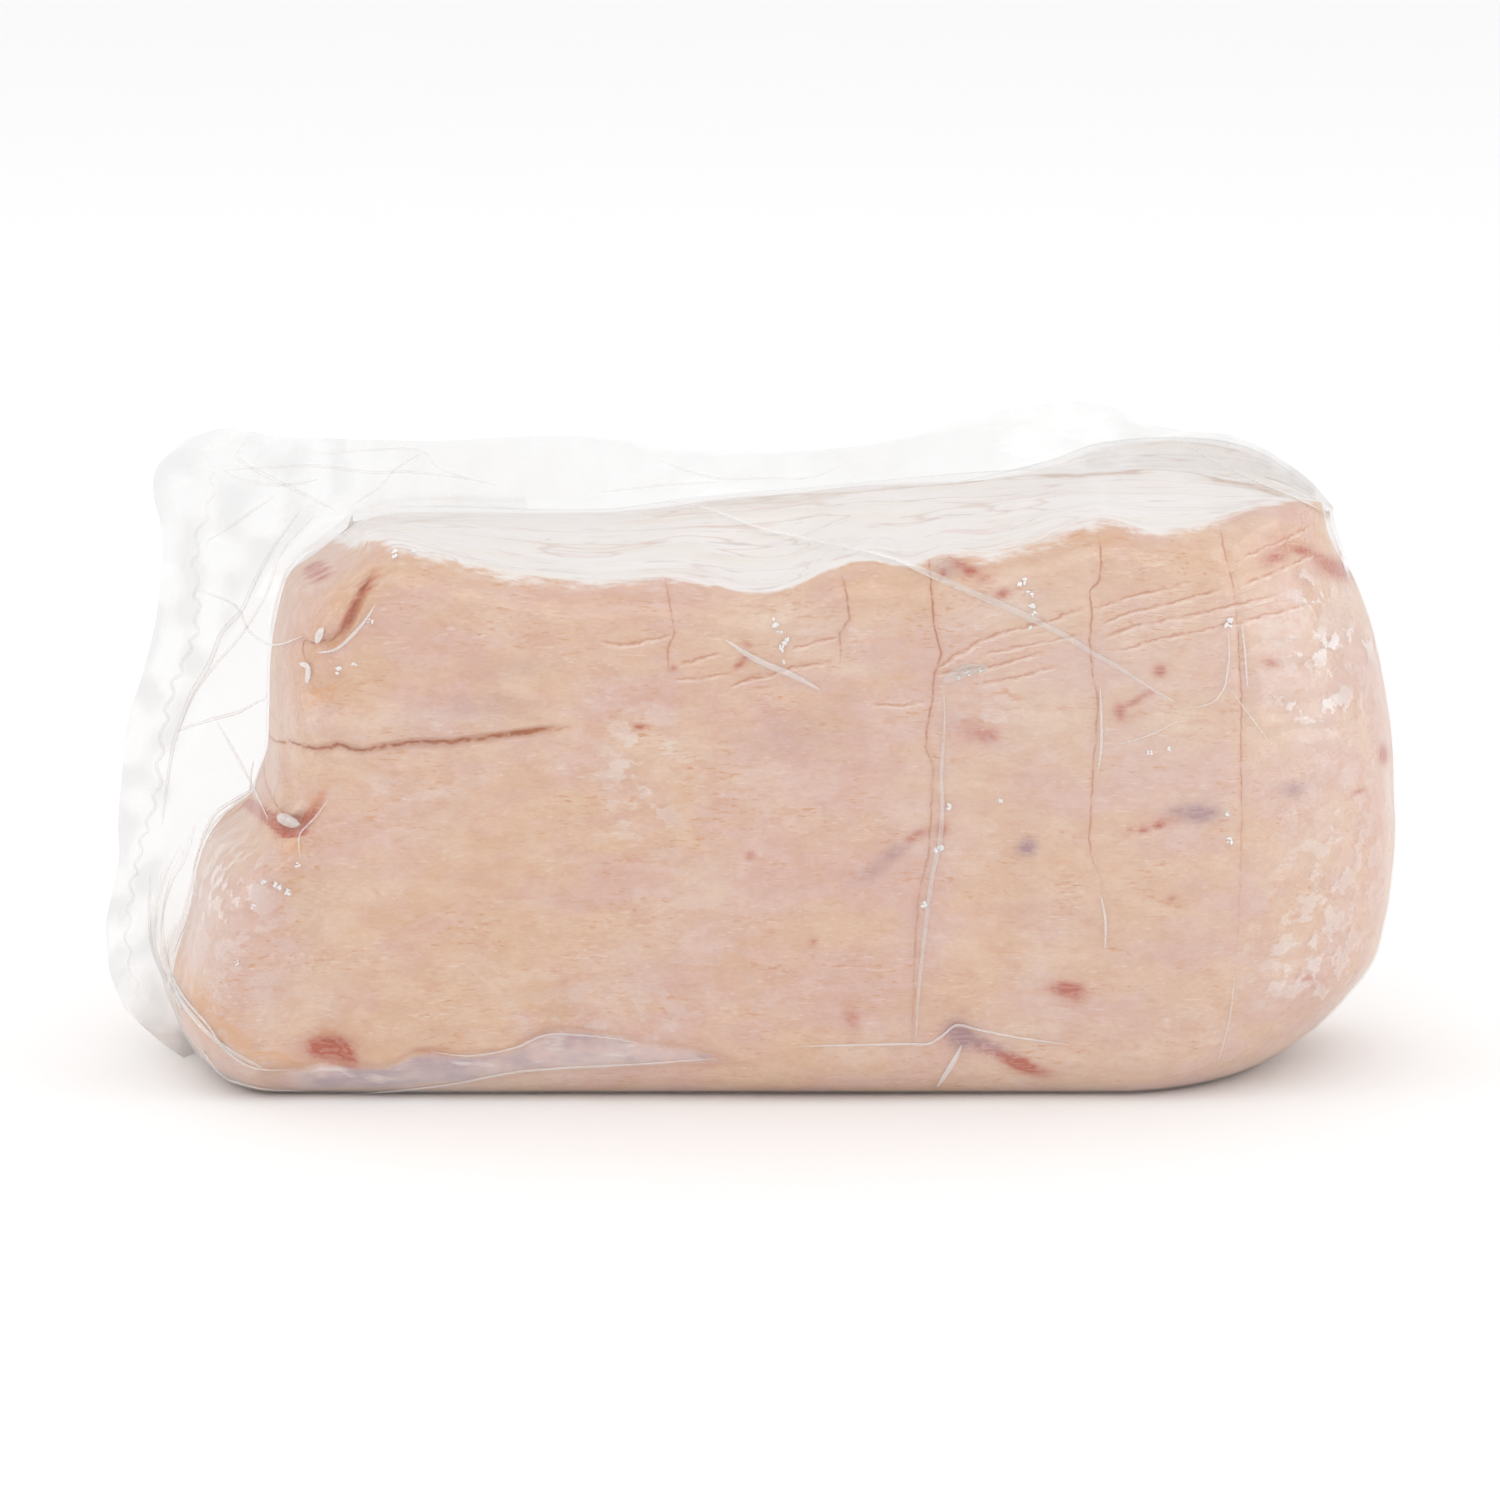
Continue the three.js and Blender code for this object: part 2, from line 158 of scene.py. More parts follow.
# End outlines, as [Z, X]
margin_end = curve_through([
    [0, -154], [11, -168], [20, -173.7], [28, -175.1], [35, -175.5], [45, -173.3], [53, -171.8],
    [62, -171.9], [78, -170.2], [87, -169.3], [95, -167.5], [103, -164.6], [112, -162.1],
    [120, -160.3], [136, -158.4], [145, -158.8], [153, -160.6], [161, -159.4], [169, -150.1],
])
web_end = curve_through([
    [0, -150], [4, -152.9], [17, -159.8], [28, -161.8], [52, -159.3], [90, -153.7],
    [116, -140.6], [135, -127.7], [151, -111.6],
])
meat_end = curve_through([
    [0, -146.4], [7, -152.6], [14, -156.1], [22, -157.5], [34, -154.6], [44, -152],
    [54.5, -149.7], [62, -145.2], [67, -138.6], [71, -135.5], [76, -134.2], [84, -131.3],
    [96, -130.4], [110, -129.9], [124, -127.5], [134, -123.6], [140.5, -116], [146, -109.2],
])
right_end = curve_through([
    [0, 141], [3, 146], [11, 156.4], [20, 165], [28, 170.6], [37, 172.9], [45, 174.3],
    [61, 175.5], [72, 175], [87, 174.2], [103, 171.7], [120, 167.6], [136, 161.1], [145, 157.8],
    [151, 156.8],
])


def meat_start(z):
    return np.maximum(meat_end(z), web_end(z) + 1.5)


# A fold of the rind: its path as [X, Z] points, the depth and width of its groove, the shares of
# its length over which it fades in and out, how much the skin swells to its left and right and at
# what distance, and how dark it is at its start and its end. The dark is red-brown skin deepened
# with painted shade of the groove.
Fold = namedtuple("Fold", "path depth width fades swells reach dark", defaults=(5.0, (1.0, 1.0)))

SLIT = Fold(
    [[-136, 88.5], [-131, 90], [-127, 92.8], [-121.6, 95.6], [-113.2, 95.7], [-108.4, 97.1],
     [-101.9, 95.4], [-96.9, 96.6], [-88.7, 97.7], [-78, 98], [-65.6, 99.8], [-55.1, 101.4],
     [-42, 102.8]],
    depth=1.3, width=1.3, fades=(0.01, 0.12), swells=(1.6, 0.4), reach=6, dark=(1.3, 1.1),
)
CURLED_FOLD = Fold(
    [[-97.4, 146.8], [-99.3, 142.8], [-102.2, 136.7], [-104.7, 130.8], [-106.8, 127.6],
     [-109.7, 125], [-114.7, 123.6], [-117.8, 123.4], [-118.2, 121.2], [-117.1, 118.3],
     [-112.9, 117.5]],
    depth=1.7, width=1.6, fades=(0.2, 0.3), swells=(0.3, 1.7), dark=(0.5, 0.9),
)
NOTCH = Fold(
    [[-138, 85.4], [-133.3, 83], [-131, 81], [-128.4, 79], [-125.8, 77.2], [-121.9, 74.8],
     [-118.4, 75.6], [-117.3, 78.6], [-114.4, 82.1]],
    depth=5.5, width=2.6, fades=(0.05, 0.4), swells=(2, 1.2), reach=8, dark=(0.8, 0.6),
)
CREASES = [
    Fold(
        [[-22.7, 143.6], [-21.4, 136.7], [-20.4, 131.6], [-19.6, 127.1], [-21.7, 122.8],
         [-21.5, 119.6], [-20.4, 112.2]],
        depth=0.2, width=1.0, fades=(0.2, 0.3), swells=(0.1, 0.1), reach=3, dark=(0.5, 0.65),
    ),
    Fold(
        [[24, 142.5], [25.6, 136.2], [26, 130.8], [23.4, 127.1], [23.9, 121.5], [23.3, 117]],
        depth=0.25, width=1.0, fades=(0.1, 0.3), swells=(0.15, 0.15), reach=3, dark=(0.75, 0.35),
    ),
    Fold(
        [[46.6, 147], [47, 142.8], [47.6, 136.2], [48.1, 129.5], [50, 121.5], [48.2, 116.2],
         [47.7, 108.1], [46.2, 100.1], [46, 96.1], [48.1, 92], [47.9, 82.6], [46.9, 66.4],
         [45.3, 61], [43.8, 48.9], [43.4, 33.9], [42.9, 17.6], [42.4, 6]],
        depth=0.3, width=1.2, fades=(0.03, 0.12), swells=(0.6, 0.1), dark=(0.9, 0.2),
    ),
    Fold(
        [[90.8, 154.8], [91.9, 146.8], [91.5, 141.5], [89.1, 138.8], [89.5, 130.8],
         [89, 125.5], [89.6, 117], [91.3, 109.5], [90.8, 98.8], [89.9, 88], [89.3, 71.8],
         [90.1, 66.4], [92.5, 61], [93.2, 50.2], [92.2, 43.4]],
        depth=0.2, width=1.2, fades=(0.06, 0.35), swells=(0.2, 0.2), reach=4, dark=(0.75, 0.5),
    ),
    Fold(
        [[123.2, 154.8], [124.8, 146.8], [127, 138.8], [128.3, 125.5], [129.3, 109.5],
         [129.2, 93.4], [129.7, 79.4], [129.6, 66.4], [129.3, 50.2], [128, 28.5],
         [123.2, 10.7]],
        depth=0.2, width=1.2, fades=(0.06, 0.6), swells=(0.2, 0.2), reach=4, dark=(0.6, 0.6),
    ),
]
FOLDS = [SLIT, CURLED_FOLD, NOTCH, *CREASES]

# Faint wrinkles that rise to the right between the creases: the path, and how deep it is pressed
WRINKLES = [
    ([[-39.3, 125.6], [-34, 124.2], [-26.2, 125.5], [-19.4, 127.1]], 0.35),
    ([[-19.6, 118.8], [-13.1, 120.7], [-7.3, 121.8]], 0.3),
    ([[-20.4, 114.8], [-13.1, 115.4], [-3.9, 117]], 0.25),
    ([[-5.8, 112.2], [-1.3, 114.8], [7.9, 117], [15.7, 119.1], [23.6, 119.6]], 0.6),
    ([[10.5, 122.8], [17, 125], [24.1, 126.6]], 0.3),
    ([[48.2, 117], [51.9, 120.2], [56.3, 122.8], [61.5, 126], [68, 128.2], [78.5, 130.8],
      [91.5, 135.6]], 0.8),
    ([[47.2, 115.9], [55, 117.5], [62.9, 118], [70.7, 120.7], [77.3, 122.3]], 0.6),
    ([[90.2, 133.5], [96.8, 136.2], [107.2, 138.8], [117.6, 141]], 0.35),
    ([[90.8, 129.5], [100.7, 133], [112.4, 135.6], [125.5, 138.8]], 0.5),
    ([[90.8, 125.5], [102.1, 129.5], [115.1, 131.6], [127.1, 133.5], [143.8, 136.2]], 0.55),
    ([[31.5, 107.9], [39.3, 107.9], [46.7, 109.5]], 0.3),
    ([[129, 139], [141, 142], [152, 144]], 0.4),
    ([[129, 146], [138, 148.5], [150, 151]], 0.4),
    ([[92.5, 121.4], [109, 126.2], [125, 128.6], [141.5, 131.3], [152, 132]], 0.4),
    ([[60, 121.6], [75, 124.6], [88.5, 127.2]], 0.35),
    ([[60, 113.4], [70.5, 115.6], [81, 119]], 0.45),
]

# Round hollows and swellings: X, Z, half widths, and how far out
SWELLINGS = [
    [-119, 50, 6, 26, -3], [-138, 45, 11, 26, 1], [-114, 110, 6, 4.5, -2.2],
    [-92, 122, 16, 14, 1], [-111, 14, 5, 7, -3], [-86, 11, 6, 6, -1.6],
    [-50, 16, 6, 8, -1.6], [66, 52, 8, 34, -1.6], [55, 15, 5, 8, -2.0], [-30, 70, 55, 40, 1],
    [108, 66, 26, 42, 1],
]

# Stations follow these three creases, from the left one to the right one
GUIDES = [
    [[47, 148], [47.1, 125.5], [49.8, 121.5], [47.2, 109.5], [46, 93.4], [46, 64], [44, 5]],
    [[91.4, 158], [92.8, 141.5], [89.4, 136.2], [91.3, 109.5], [90.1, 69], [93.2, 42]],
    [[124, 154], [126.2, 135.8], [127.4, 119.8], [129.5, 103.7], [129.8, 72], [129, 40]],
]
slit_height = curve_through([
    [-140, 99], [-126, 98.2], [-110, 96.6], [-92, 98.2], [-71, 100.1], [-55, 101.4],
    [-42, 102.8],
])


def beside_path(path, x, z):
    """How far places lie from a path, positive to the left of the way it runs, and how far along
    it they are, from 0 to 1: the nearest point of the nearest of its straight pieces."""
    best = np.full(x.shape, np.inf)
    away = np.zeros(x.shape)
    along = np.zeros(x.shape)
    for i, ((ax, az), (bx, bz)) in enumerate(zip(path, path[1:])):
        dx, dz = bx - ax, bz - az
        t = np.clip(((x - ax) * dx + (z - az) * dz) / (dx * dx + dz * dz), 0.0, 1.0)
        ox, oz = x - ax - t * dx, z - az - t * dz
        distance = np.hypot(ox, oz)
        nearer = distance < best
        away = np.where(nearer, np.where(dx * oz - dz * ox >= 0, distance, -distance), away)
        along = np.where(nearer, (i + t) / (len(path) - 1), along)
        best = np.minimum(best, distance)
    return away, along


def shown_along(fold, along):
    fade_in, fade_out = fold.fades
    return ease(along / fade_in) * ease((1.0 - along) / fade_out)


def fold_relief(fold, x, z, deeper, narrower):
    """A swell on both sides of the path less a groove on it, each a bell across the path."""
    away, along = beside_path(fold.path, x, z)
    left, right = fold.swells
    swell = left * hump(away - fold.reach, fold.reach) + right * hump(away + fold.reach, fold.reach)
    groove = deeper * fold.depth * hump(away, narrower * fold.width)
    return shown_along(fold, along) * (swell - groove)


def wrinkle_relief(x, z, deeper, width):
    """Shallow grooves along the wrinkles, fading at both ends."""
    total = np.zeros(x.shape)
    for path, depth in WRINKLES:
        away, along = beside_path(path, x, z)
        total -= deeper * depth * hump(away, width) * ease(along / 0.2) * ease((1 - along) / 0.2)
    return total


def broad_relief(x, z):
    """Slow waves and the round hollows and swellings of the rind."""
    total = 0.5 * np.sin(x / 19 + z / 27) + 0.4 * np.sin(x / 31 - z / 17 + 2)
    for cx, cz, wx, wz, out in SWELLINGS:
        total += out * hump(x - cx, wx) * hump(z - cz, wz)
    return total


def waves(x, z, size, seed):
    """Uneven ground of about unit height: a sum of sine waves in seeded random directions."""
    draw = np.random.default_rng(seed)
    total = np.zeros(x.shape)
    for _ in range(9):
        angle = draw.uniform(0, math.pi)
        length = size * draw.uniform(0.6, 1.7)
        phase = draw.uniform(0, 2 * math.pi)
        across = x * math.cos(angle) + z * math.sin(angle)
        total += np.sin(2 * math.pi * across / length + phase)
    return total / 3.0


def rind_relief(x, z):
    """The rind itself: deep narrow folds, wrinkles and a slightly uneven skin."""
    folds = sum(fold_relief(fold, x, z, deeper=1.25, narrower=0.6) for fold in FOLDS)
    wrinkles = wrinkle_relief(x, z, deeper=0.5, width=0.8)
    return broad_relief(x, z) + folds + wrinkles + 0.12 * waves(x, z, 9, seed=3)


def bag_relief(x, z):
    """The film over the rind: it bridges the folds, and wrinkles where it is drawn tight."""
    folds = sum(fold_relief(fold, x, z, deeper=0.5, narrower=1.0) for fold in FOLDS)
    wrinkles = wrinkle_relief(x, z, deeper=0.5, width=1.1)
    right = hump(x - 150, 18) * hump(z - 120, 34)
    ripples = 0.3 * right * np.sin(z / 1.15 + 1.8 * waves(x, z, 30, seed=5))
    return broad_relief(x, z) + folds + wrinkles + ripples + 0.09 * waves(x * 0.5, z, 5, seed=7)


def back_relief(x, z):
    """The back is pressed flatter, with a few broad swells."""
    return 0.9 * np.sin(x / 31) * np.sin(z / 38) - 0.9


# One sheet: its side of the seam plane, how far out its face lies, the rounding at its foot and at
# its upper edge, and the rules for its height and its relief
Sheet = namedtuple("Sheet", "side depth foot edge edge_height relief")


def front_sheet(relief):
    return Sheet(-1, FRONT_DEPTH, FOOT_RADIUS, RIND_EDGE_RADIUS, rind_edge_height, relief)


def back_sheet():
    return Sheet(1, BACK_DEPTH, BACK_RADIUS, BACK_RADIUS, back_top_height, back_relief)


def section(sheet, step, x, film):
    """The full section at X, as distance from the seam plane and height at each step: flat under
    the block, a quarter round, up the face with rows closed up at the slit, a quarter round, over
    the top to the seam, and up the margin."""
    quarter = math.pi / 2
    depth, foot, edge = sheet.depth, sheet.foot, sheet.edge
    top, seam, slit_z = sheet.edge_height(x), seam_height(x), slit_height(x)
    rules = {
        "bottom": lambda t: (t * (depth - foot), 0 * t),
        "foot": lambda t: (
            depth - foot * (1 - np.sin(t * quarter)), foot * (1 - np.cos(t * quarter))),
        "low": lambda t: (depth, mix(foot, slit_z - SLIT_BAND, t)),
        "slit": lambda t: (
            depth, slit_z + SLIT_BAND * np.sign(t - 0.5) * np.abs(2 * t - 1) ** 1.5),
        "high": lambda t: (depth, mix(slit_z + SLIT_BAND, top - edge, t)),
        "edge": lambda t: (
            depth - edge * (1 - np.cos(t * quarter)), top - edge * (1 - np.sin(t * quarter))),
        "top": lambda t: (mix(depth - edge, film, t), mix(top, seam, ease(t))),
        "margin": lambda t: (np.where(t < 1, film, 0.0), mix(seam, margin_height(x), t)),
    }
    out = np.zeros(x.shape)
    z = np.zeros(x.shape)
    first = 0
    for leg, steps in STEPS.items():
        here = np.broadcast_to((step >= first) & (step <= first + steps), x.shape)
        leg_out, leg_z = rules[leg](np.clip((step - first) / steps, 0.0, 1.0))
        out = np.where(here, leg_out, out)
        z = np.where(here, leg_z, z)
        first += steps
    return out, z


def flat_height(step, x):
    """Heights spread evenly up the seam, for the ends where the section has no depth."""
    seam = seam_height(x)
    up_margin = (step - MEAT_STEPS) / STEPS["margin"]
    return np.where(
        step <= MEAT_STEPS, step / MEAT_STEPS * seam, mix(seam, margin_height(x), up_margin))


# Neighbouring stations: the rule for their X at a height, how full their section is, how far it
# has turned into the flat margin, whether the sheets are apart, and how loose they hang
Stations = namedtuple("Stations", "place full flat rim loose")


def margin_stations(count):
    t = np.linspace(0, 1, count + 1)
    return Stations(
        lambda z: mix(margin_end(z), web_end(z), t), 0 * t, 1 + 0 * t, (t > 0) * 1.0, 1 - 0.5 * t)


def web_stations(count):
    t = np.linspace(0, 1, count + 1)[1:]
    return Stations(
        lambda z: mix(web_end(z), meat_start(z), t), WEB_SHARE * t, 1 - 0.5 * t, 1 + 0 * t,
        0.5 * (1 - t))


def left_end_stations(count, least, most_flat, first):
    """Round the left end of the meat, a quarter of an ellipse in plan."""
    t = np.linspace(0, 1, count + 1)[first:]
    turn = t * math.pi / 2
    apart = (t > 0) | (least > 0)
    return Stations(
        lambda z: meat_start(z) + LEFT_ROUNDING * (1 - np.cos(turn)),
        mix(least, 1, np.sin(turn)), most_flat * (1 - t) ** 2, 1.0 * apart, 0 * t)


def left_stations(count):
    t = np.linspace(0, 1, count + 1)[1:]
    return Stations(
        lambda z: mix(meat_start(z) + LEFT_ROUNDING, STRAIGHT_FROM, t), 1 + 0 * t, 0 * t,
        1 + 0 * t, 0 * t)


def guide_x(guide, z):
    xs, zs = np.array(guide).T
    return np.interp(z, zs[::-1], xs[::-1])


def along_creases(x, z):
    """The stations follow the creases that they are next to."""
    for guide in GUIDES:
        middle = guide[3][0]
        x = x + (guide_x(guide, z) - middle) * hump(x - middle, 13)
    return x


def leaned(x, z):
    """Towards the right end stations lean, until the last one is the right outline."""
    share = ease((x - 70) / (HALF_LENGTH - 70)) ** 0.8
    return x + (right_end(z) - HALF_LENGTH) * share


def upright_places(spacing, close, round_count):
    """X of the upright stations: closer at the creases and the lobes, and evenly round the right
    end."""
    round_from = HALF_LENGTH - RIGHT_ROUNDING
    fine = np.linspace(STRAIGHT_FROM, round_from, 4000)
    density = 1 / spacing + 0 * fine
    for x in CLOSE_PLACES:
        density += (1 / close - 1 / spacing) * hump(fine - x, 4)
    count = np.concatenate([[0], np.cumsum(density[1:] * np.diff(fine))])
    straight = np.interp(np.linspace(0, count[-1], int(count[-1]) + 1)[1:], count, fine)
    angles = np.linspace(0, math.pi / 2, round_count + 1)[1:]
    return np.concatenate([straight, round_from + RIGHT_ROUNDING * np.sin(angles)])


def upright_stations(places):
    turn = np.clip((places - HALF_LENGTH + RIGHT_ROUNDING) / RIGHT_ROUNDING, 0, 1)
    return Stations(
        lambda z: leaned(along_creases(places, z), z), (1 - turn * turn) ** 0.43,
        ease((turn - 0.93) / 0.07), (turn < 1 - 1e-9) * 1.0, 0 * turn)


def crumpled(x):
    """How crumpled the loose film is: most at the left end, least over the middle."""
    return 0.3 + 0.7 * ease((-92 - x) / 26) + 0.3 * ease((x - 70) / 20)


def crumple_waves(x, z):
    return waves(x, 0.7 * z, 12, seed=21)


def margin_sway(x, z):
    """Loose film waves out of the seam plane, and the lower left of it comes forward."""
    slow = 0.7 * np.sin(x / 17 + z / 60) + 0.5 * np.sin(x / 41 - z / 23 + 1)
    forward = LOWER_MARGIN_FORWARD * hump(z, 30) * ease((-130 - x) / 30)
    return MARGIN_SWAY * slow + 0.5 * crumpled(x) * crumple_waves(x, z) - forward


def sheet_points(sheet, steps, stations, film):
    """Points of a sheet on a grid of steps by stations: the full section shrunk towards the seam
    plane by the station's fullness, turned into the flat margin by its flatness, and swayed out
    of the seam plane where the film is loose."""
    step = steps[:, None]
    shape = (len(steps), len(stations.full))
    near = np.broadcast_to(stations.place(np.full((1, 1), USUAL_TOP)), shape)
    _, near_z = section(sheet, step, near, film)
    across = stations.place(np.maximum(near_z, USUAL_TOP))
    section_out, section_z = section(sheet, step, across, film)
    z = mix(section_z, flat_height(step, across), stations.flat)
    x = stations.place(z)
    lower = ease((step - STEPS["bottom"]) / 2)
    upper = ease((MEAT_STEPS - STEPS["top"] + 1 - step) / 2)
    thin = np.minimum(section_out, film)
    body = (section_out + lower * upper * sheet.relief(x, z) - thin) * stations.full
    apart = (step > 0) & (step < steps[-1])
    out = stations.rim * mix(thin, film * apart, stations.flat) + body
    loose = np.maximum(stations.loose, (step - MEAT_STEPS) / STEPS["margin"])
    y = SEAM_Y + sheet.side * np.maximum(out, 0) + np.maximum(loose, 0) * margin_sway(x, z)
    return np.stack([x, y, z], axis=-1)


def row_steps(rows):
    """The step of each row, from the number of rows in each leg."""
    parts = [[0.0]]
    first = 0
    for leg, count in rows.items():
        parts.append(first + STEPS[leg] * np.arange(1, count + 1) / count)
        first += STEPS[leg]
    return np.concatenate(parts)


class Shell:
    """A closed shell of a fine front sheet and a coarser back sheet that share their whole edge:
    points, four-sided faces, the many-sided faces that join fine rows to coarse ones at both
    ends, and for each point its step and its side."""

    def __init__(self, blocks, rows, relief, film):
        steps = row_steps(rows)
        coarse = steps[::FINE_PER_COARSE]
        self.front = self._sheet(front_sheet(relief), steps, blocks, film)
        back = self._sheet(back_sheet(), coarse, blocks, film)
        count, across = self.front.shape[:2]
        self.shape = (count, across)
        grid = np.arange(count * across).reshape(count, across)
        back_grid = np.zeros(back.shape[:2], int)
        back_grid[[0, -1]] = grid[[0, -1]]
        back_grid[:, [0, -1]] = grid[::FINE_PER_COARSE, [0, -1]]
        inner = back[1:-1, 1:-1]
        numbers = np.arange(inner.shape[0] * inner.shape[1]).reshape(inner.shape[:2])
        back_grid[1:-1, 1:-1] = grid.size + numbers
        self.points = np.concatenate([self.front.reshape(-1, 3), inner.reshape(-1, 3)])
        self.steps = np.concatenate([
            np.repeat(steps, across), np.repeat(coarse[1:-1], inner.shape[1])])
        self.on_front = np.arange(len(self.points)) < grid.size
        self.quads = np.concatenate([
            self._cells(grid), self._cells(back_grid[:, 1:-1])[:, ::-1]])
        self.joins = self._joins(grid, back_grid)

    @staticmethod
    def _sheet(sheet, steps, blocks, film):
        return np.concatenate([sheet_points(sheet, steps, b, film) for b in blocks], axis=1)

    @staticmethod
    def _cells(grid):
        cells = [grid[:-1, :-1], grid[:-1, 1:], grid[1:, 1:], grid[1:, :-1]]
        return np.stack(cells, axis=-1).reshape(-1, 4)

    @staticmethod
    def _joins(grid, back_grid):
        """Each coarse cell at an end takes in all the fine points of the shared edge."""
        faces = []
        for fine, coarse, flip in ((grid[:, 0], back_grid[:, 1], 1),
                                   (grid[:, -1], back_grid[:, -2], -1)):
            steps = [fine[k::FINE_PER_COARSE][:len(coarse) - 1] for k in range(FINE_PER_COARSE)]
            steps.append(fine[FINE_PER_COARSE::FINE_PER_COARSE])
            loop = np.stack([*steps, coarse[1:], coarse[:-1]], axis=-1)
            faces.append(loop[:, ::flip])
        return np.concatenate(faces)

    def normals(self):
        """Point normals: the sum of the crossed diagonals of the faces round each point."""
        a, b, c, d = (self.points[self.quads[:, k]] for k in range(4))
        face = np.cross(c - a, d - b)
        total = np.zeros(self.points.shape)
        for corner in range(4):
            for axis in range(3):
                total[:, axis] += np.bincount(
                    self.quads[:, corner], face[:, axis], len(self.points))
        return total / np.maximum(np.linalg.norm(total, axis=1, keepdims=True), 1e-9)

    def surface_run(self):
        """Length up each column of the front sheet from the cut edge of the rind, positive over
        the top; on the back sheet, a value that grows towards the top in the same way."""
        rows = self.steps[:self.shape[0] * self.shape[1]].reshape(self.shape)[:, 0]
        lengths = np.linalg.norm(np.diff(self.front, axis=0), axis=-1)
        run = np.concatenate([np.zeros((1, self.shape[1])), np.cumsum(lengths, axis=0)])
        run -= run[np.searchsorted(rows, EDGE_STEP)]
        back = (self.steps[~self.on_front] - EDGE_STEP + 0.5) * BACK_RUN
        return np.concatenate([run.ravel(), back])


def fill_mesh(name, points, faces, values, material):
    """An object from points in millimetres, arrays of faces with equal numbers of corners, and
    one number per point for each named attribute."""
    mesh = bpy.data.meshes.new(name)
    loops = np.concatenate([f.ravel() for f in faces]).astype(np.int32)
    totals = np.concatenate([np.full(len(f), f.shape[1]) for f in faces])
    starts = np.concatenate([[0], np.cumsum(totals)[:-1]]).astype(np.int32)
    mesh.vertices.add(len(points))
    mesh.vertices.foreach_set("co", (points * 0.001).astype(np.float32).ravel())
    mesh.loops.add(len(loops))
    mesh.loops.foreach_set("vertex_index", loops)
    mesh.polygons.add(len(starts))
    mesh.polygons.foreach_set("loop_start", starts)
    mesh.update(calc_edges=True)
    mesh.polygons.foreach_set("use_smooth", np.ones(len(starts), bool))
    for label, numbers in values.items():
        layer = mesh.attributes.new(label, "FLOAT", "POINT")
        layer.data.foreach_set("value", numbers.astype(np.float32))
    mesh.materials.append(material)
    mesh.set_sharp_from_angle(angle=SHARP_ANGLE)
    if mesh.validate():
        raise RuntimeError(f"The mesh of {name} had faults")
    piece = bpy.data.objects.new(name, mesh)
    bpy.context.collection.objects.link(piece)
    return piece


def declare(piece):
    """What the frame has to know about a piece."""
    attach(piece, "root")
    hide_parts(SOLID)


# Marks of the rind: X, Z, half length, half height, tilt in degrees, and how strong they are
RED_MARKS = [
    [83.3, 31.4, 3.8, 1.4, 0, 1.0], [86, 29.5, 3.4, 2.6, 0, 0.35], [71, 11.2, 4.2, 1.5, -18, 1.1],
    [76, 8.6, 4.5, 1.4, -14, 0.5], [64, 14.5, 6, 1.6, -22, 0.5],
    [107.6, 75.8, 1.5, 0.8, 10, 0.8], [103.5, 74.6, 1.8, 0.9, 0, 0.7],
    [99.8, 73.9, 1, 0.7, 0, 0.7], [110, 77, 5, 1.5, 5, 0.25], [62.6, 99.6, 2.6, 1.5, -15, 0.55],
    [58, 101.5, 7, 4, -10, 0.22], [-1.2, 120.4, 1.4, 0.9, 20, 0.5],
    [-3, 118.6, 1.6, 0.9, 20, 0.5], [-0.5, 124.2, 1.8, 0.7, -15, 0.45],
    [-29, 102.2, 1.4, 0.9, 0, 0.6], [166.9, 94.9, 1.4, 2.6, 0, 0.75], [160, 84.9, 2, 0.8, 10, 0.6],
    [107.4, 117.1, 1.6, 1.4, 0, 0.8], [97, 106, 1.8, 2.6, 20, 0.55],
    [100.6, 108.8, 3, 0.9, 25, 0.55], [104.5, 111.2, 2.2, 0.7, 10, 0.5],
    [136.5, 119.4, 2.4, 1, -25, 0.5], [-114.2, 145.2, 1.3, 1.3, 0, 2.2],
    [-112.8, 143.4, 1.5, 1.1, -30, 2.0], [-111.6, 15.5, 5, 2.4, 0, 1.3],
    [-109.5, 13.2, 4.2, 1.8, -20, 1.2], [-106.8, 11.4, 2.5, 1.4, -30, 1.0],
    [-84, 14, 5, 0.7, -8, 0.5], [50.5, 74.8, 1.6, 1.8, 0, 0.6], [137.4, 147.4, 3.2, 1.6, 12, 0.6],
    [59, 143.2, 3.4, 1, -20, 0.9], [54.4, 146.4, 3, 1, -30, 0.8], [66, 137.6, 1.8, 1.2, 15, 0.6],
    [50.2, 144, 1.2, 1.2, 0, 0.8], [111.2, 55.7, 1.6, 0.9, 20, 0.4], [16.6, 44, 1.1, 0.8, 0, 0.55],
    [0, 67.4, 1.1, 0.9, 20, 0.55], [-20, 118, 1, 1, 0, 0.4], [44, 73, 3.4, 1.2, 25, 0.5],
    [-130.4, 80.5, 3.2, 1, -40, 2.4], [-125.2, 76.7, 3.6, 1.1, -32, 3.0],
    [-120.6, 74.3, 3, 0.9, 0, 2.6], [-116.8, 77.5, 1, 2.2, -35, 1.2],
    [153.5, 144.6, 4.4, 2.2, -25, 0.9], [144, 149.6, 6, 1.2, -20, 0.7],
    [-114.4, 80.5, 1.4, 4, -30, 0.4], [-101.2, 139, 0.8, 5, -28, 0.9],
    [-104.8, 131.5, 0.8, 4, -28, 0.8], [27, 23, 2, 3.4, 10, 0.3], [147.5, 34, 2.6, 0.9, -25, 0.4],
]
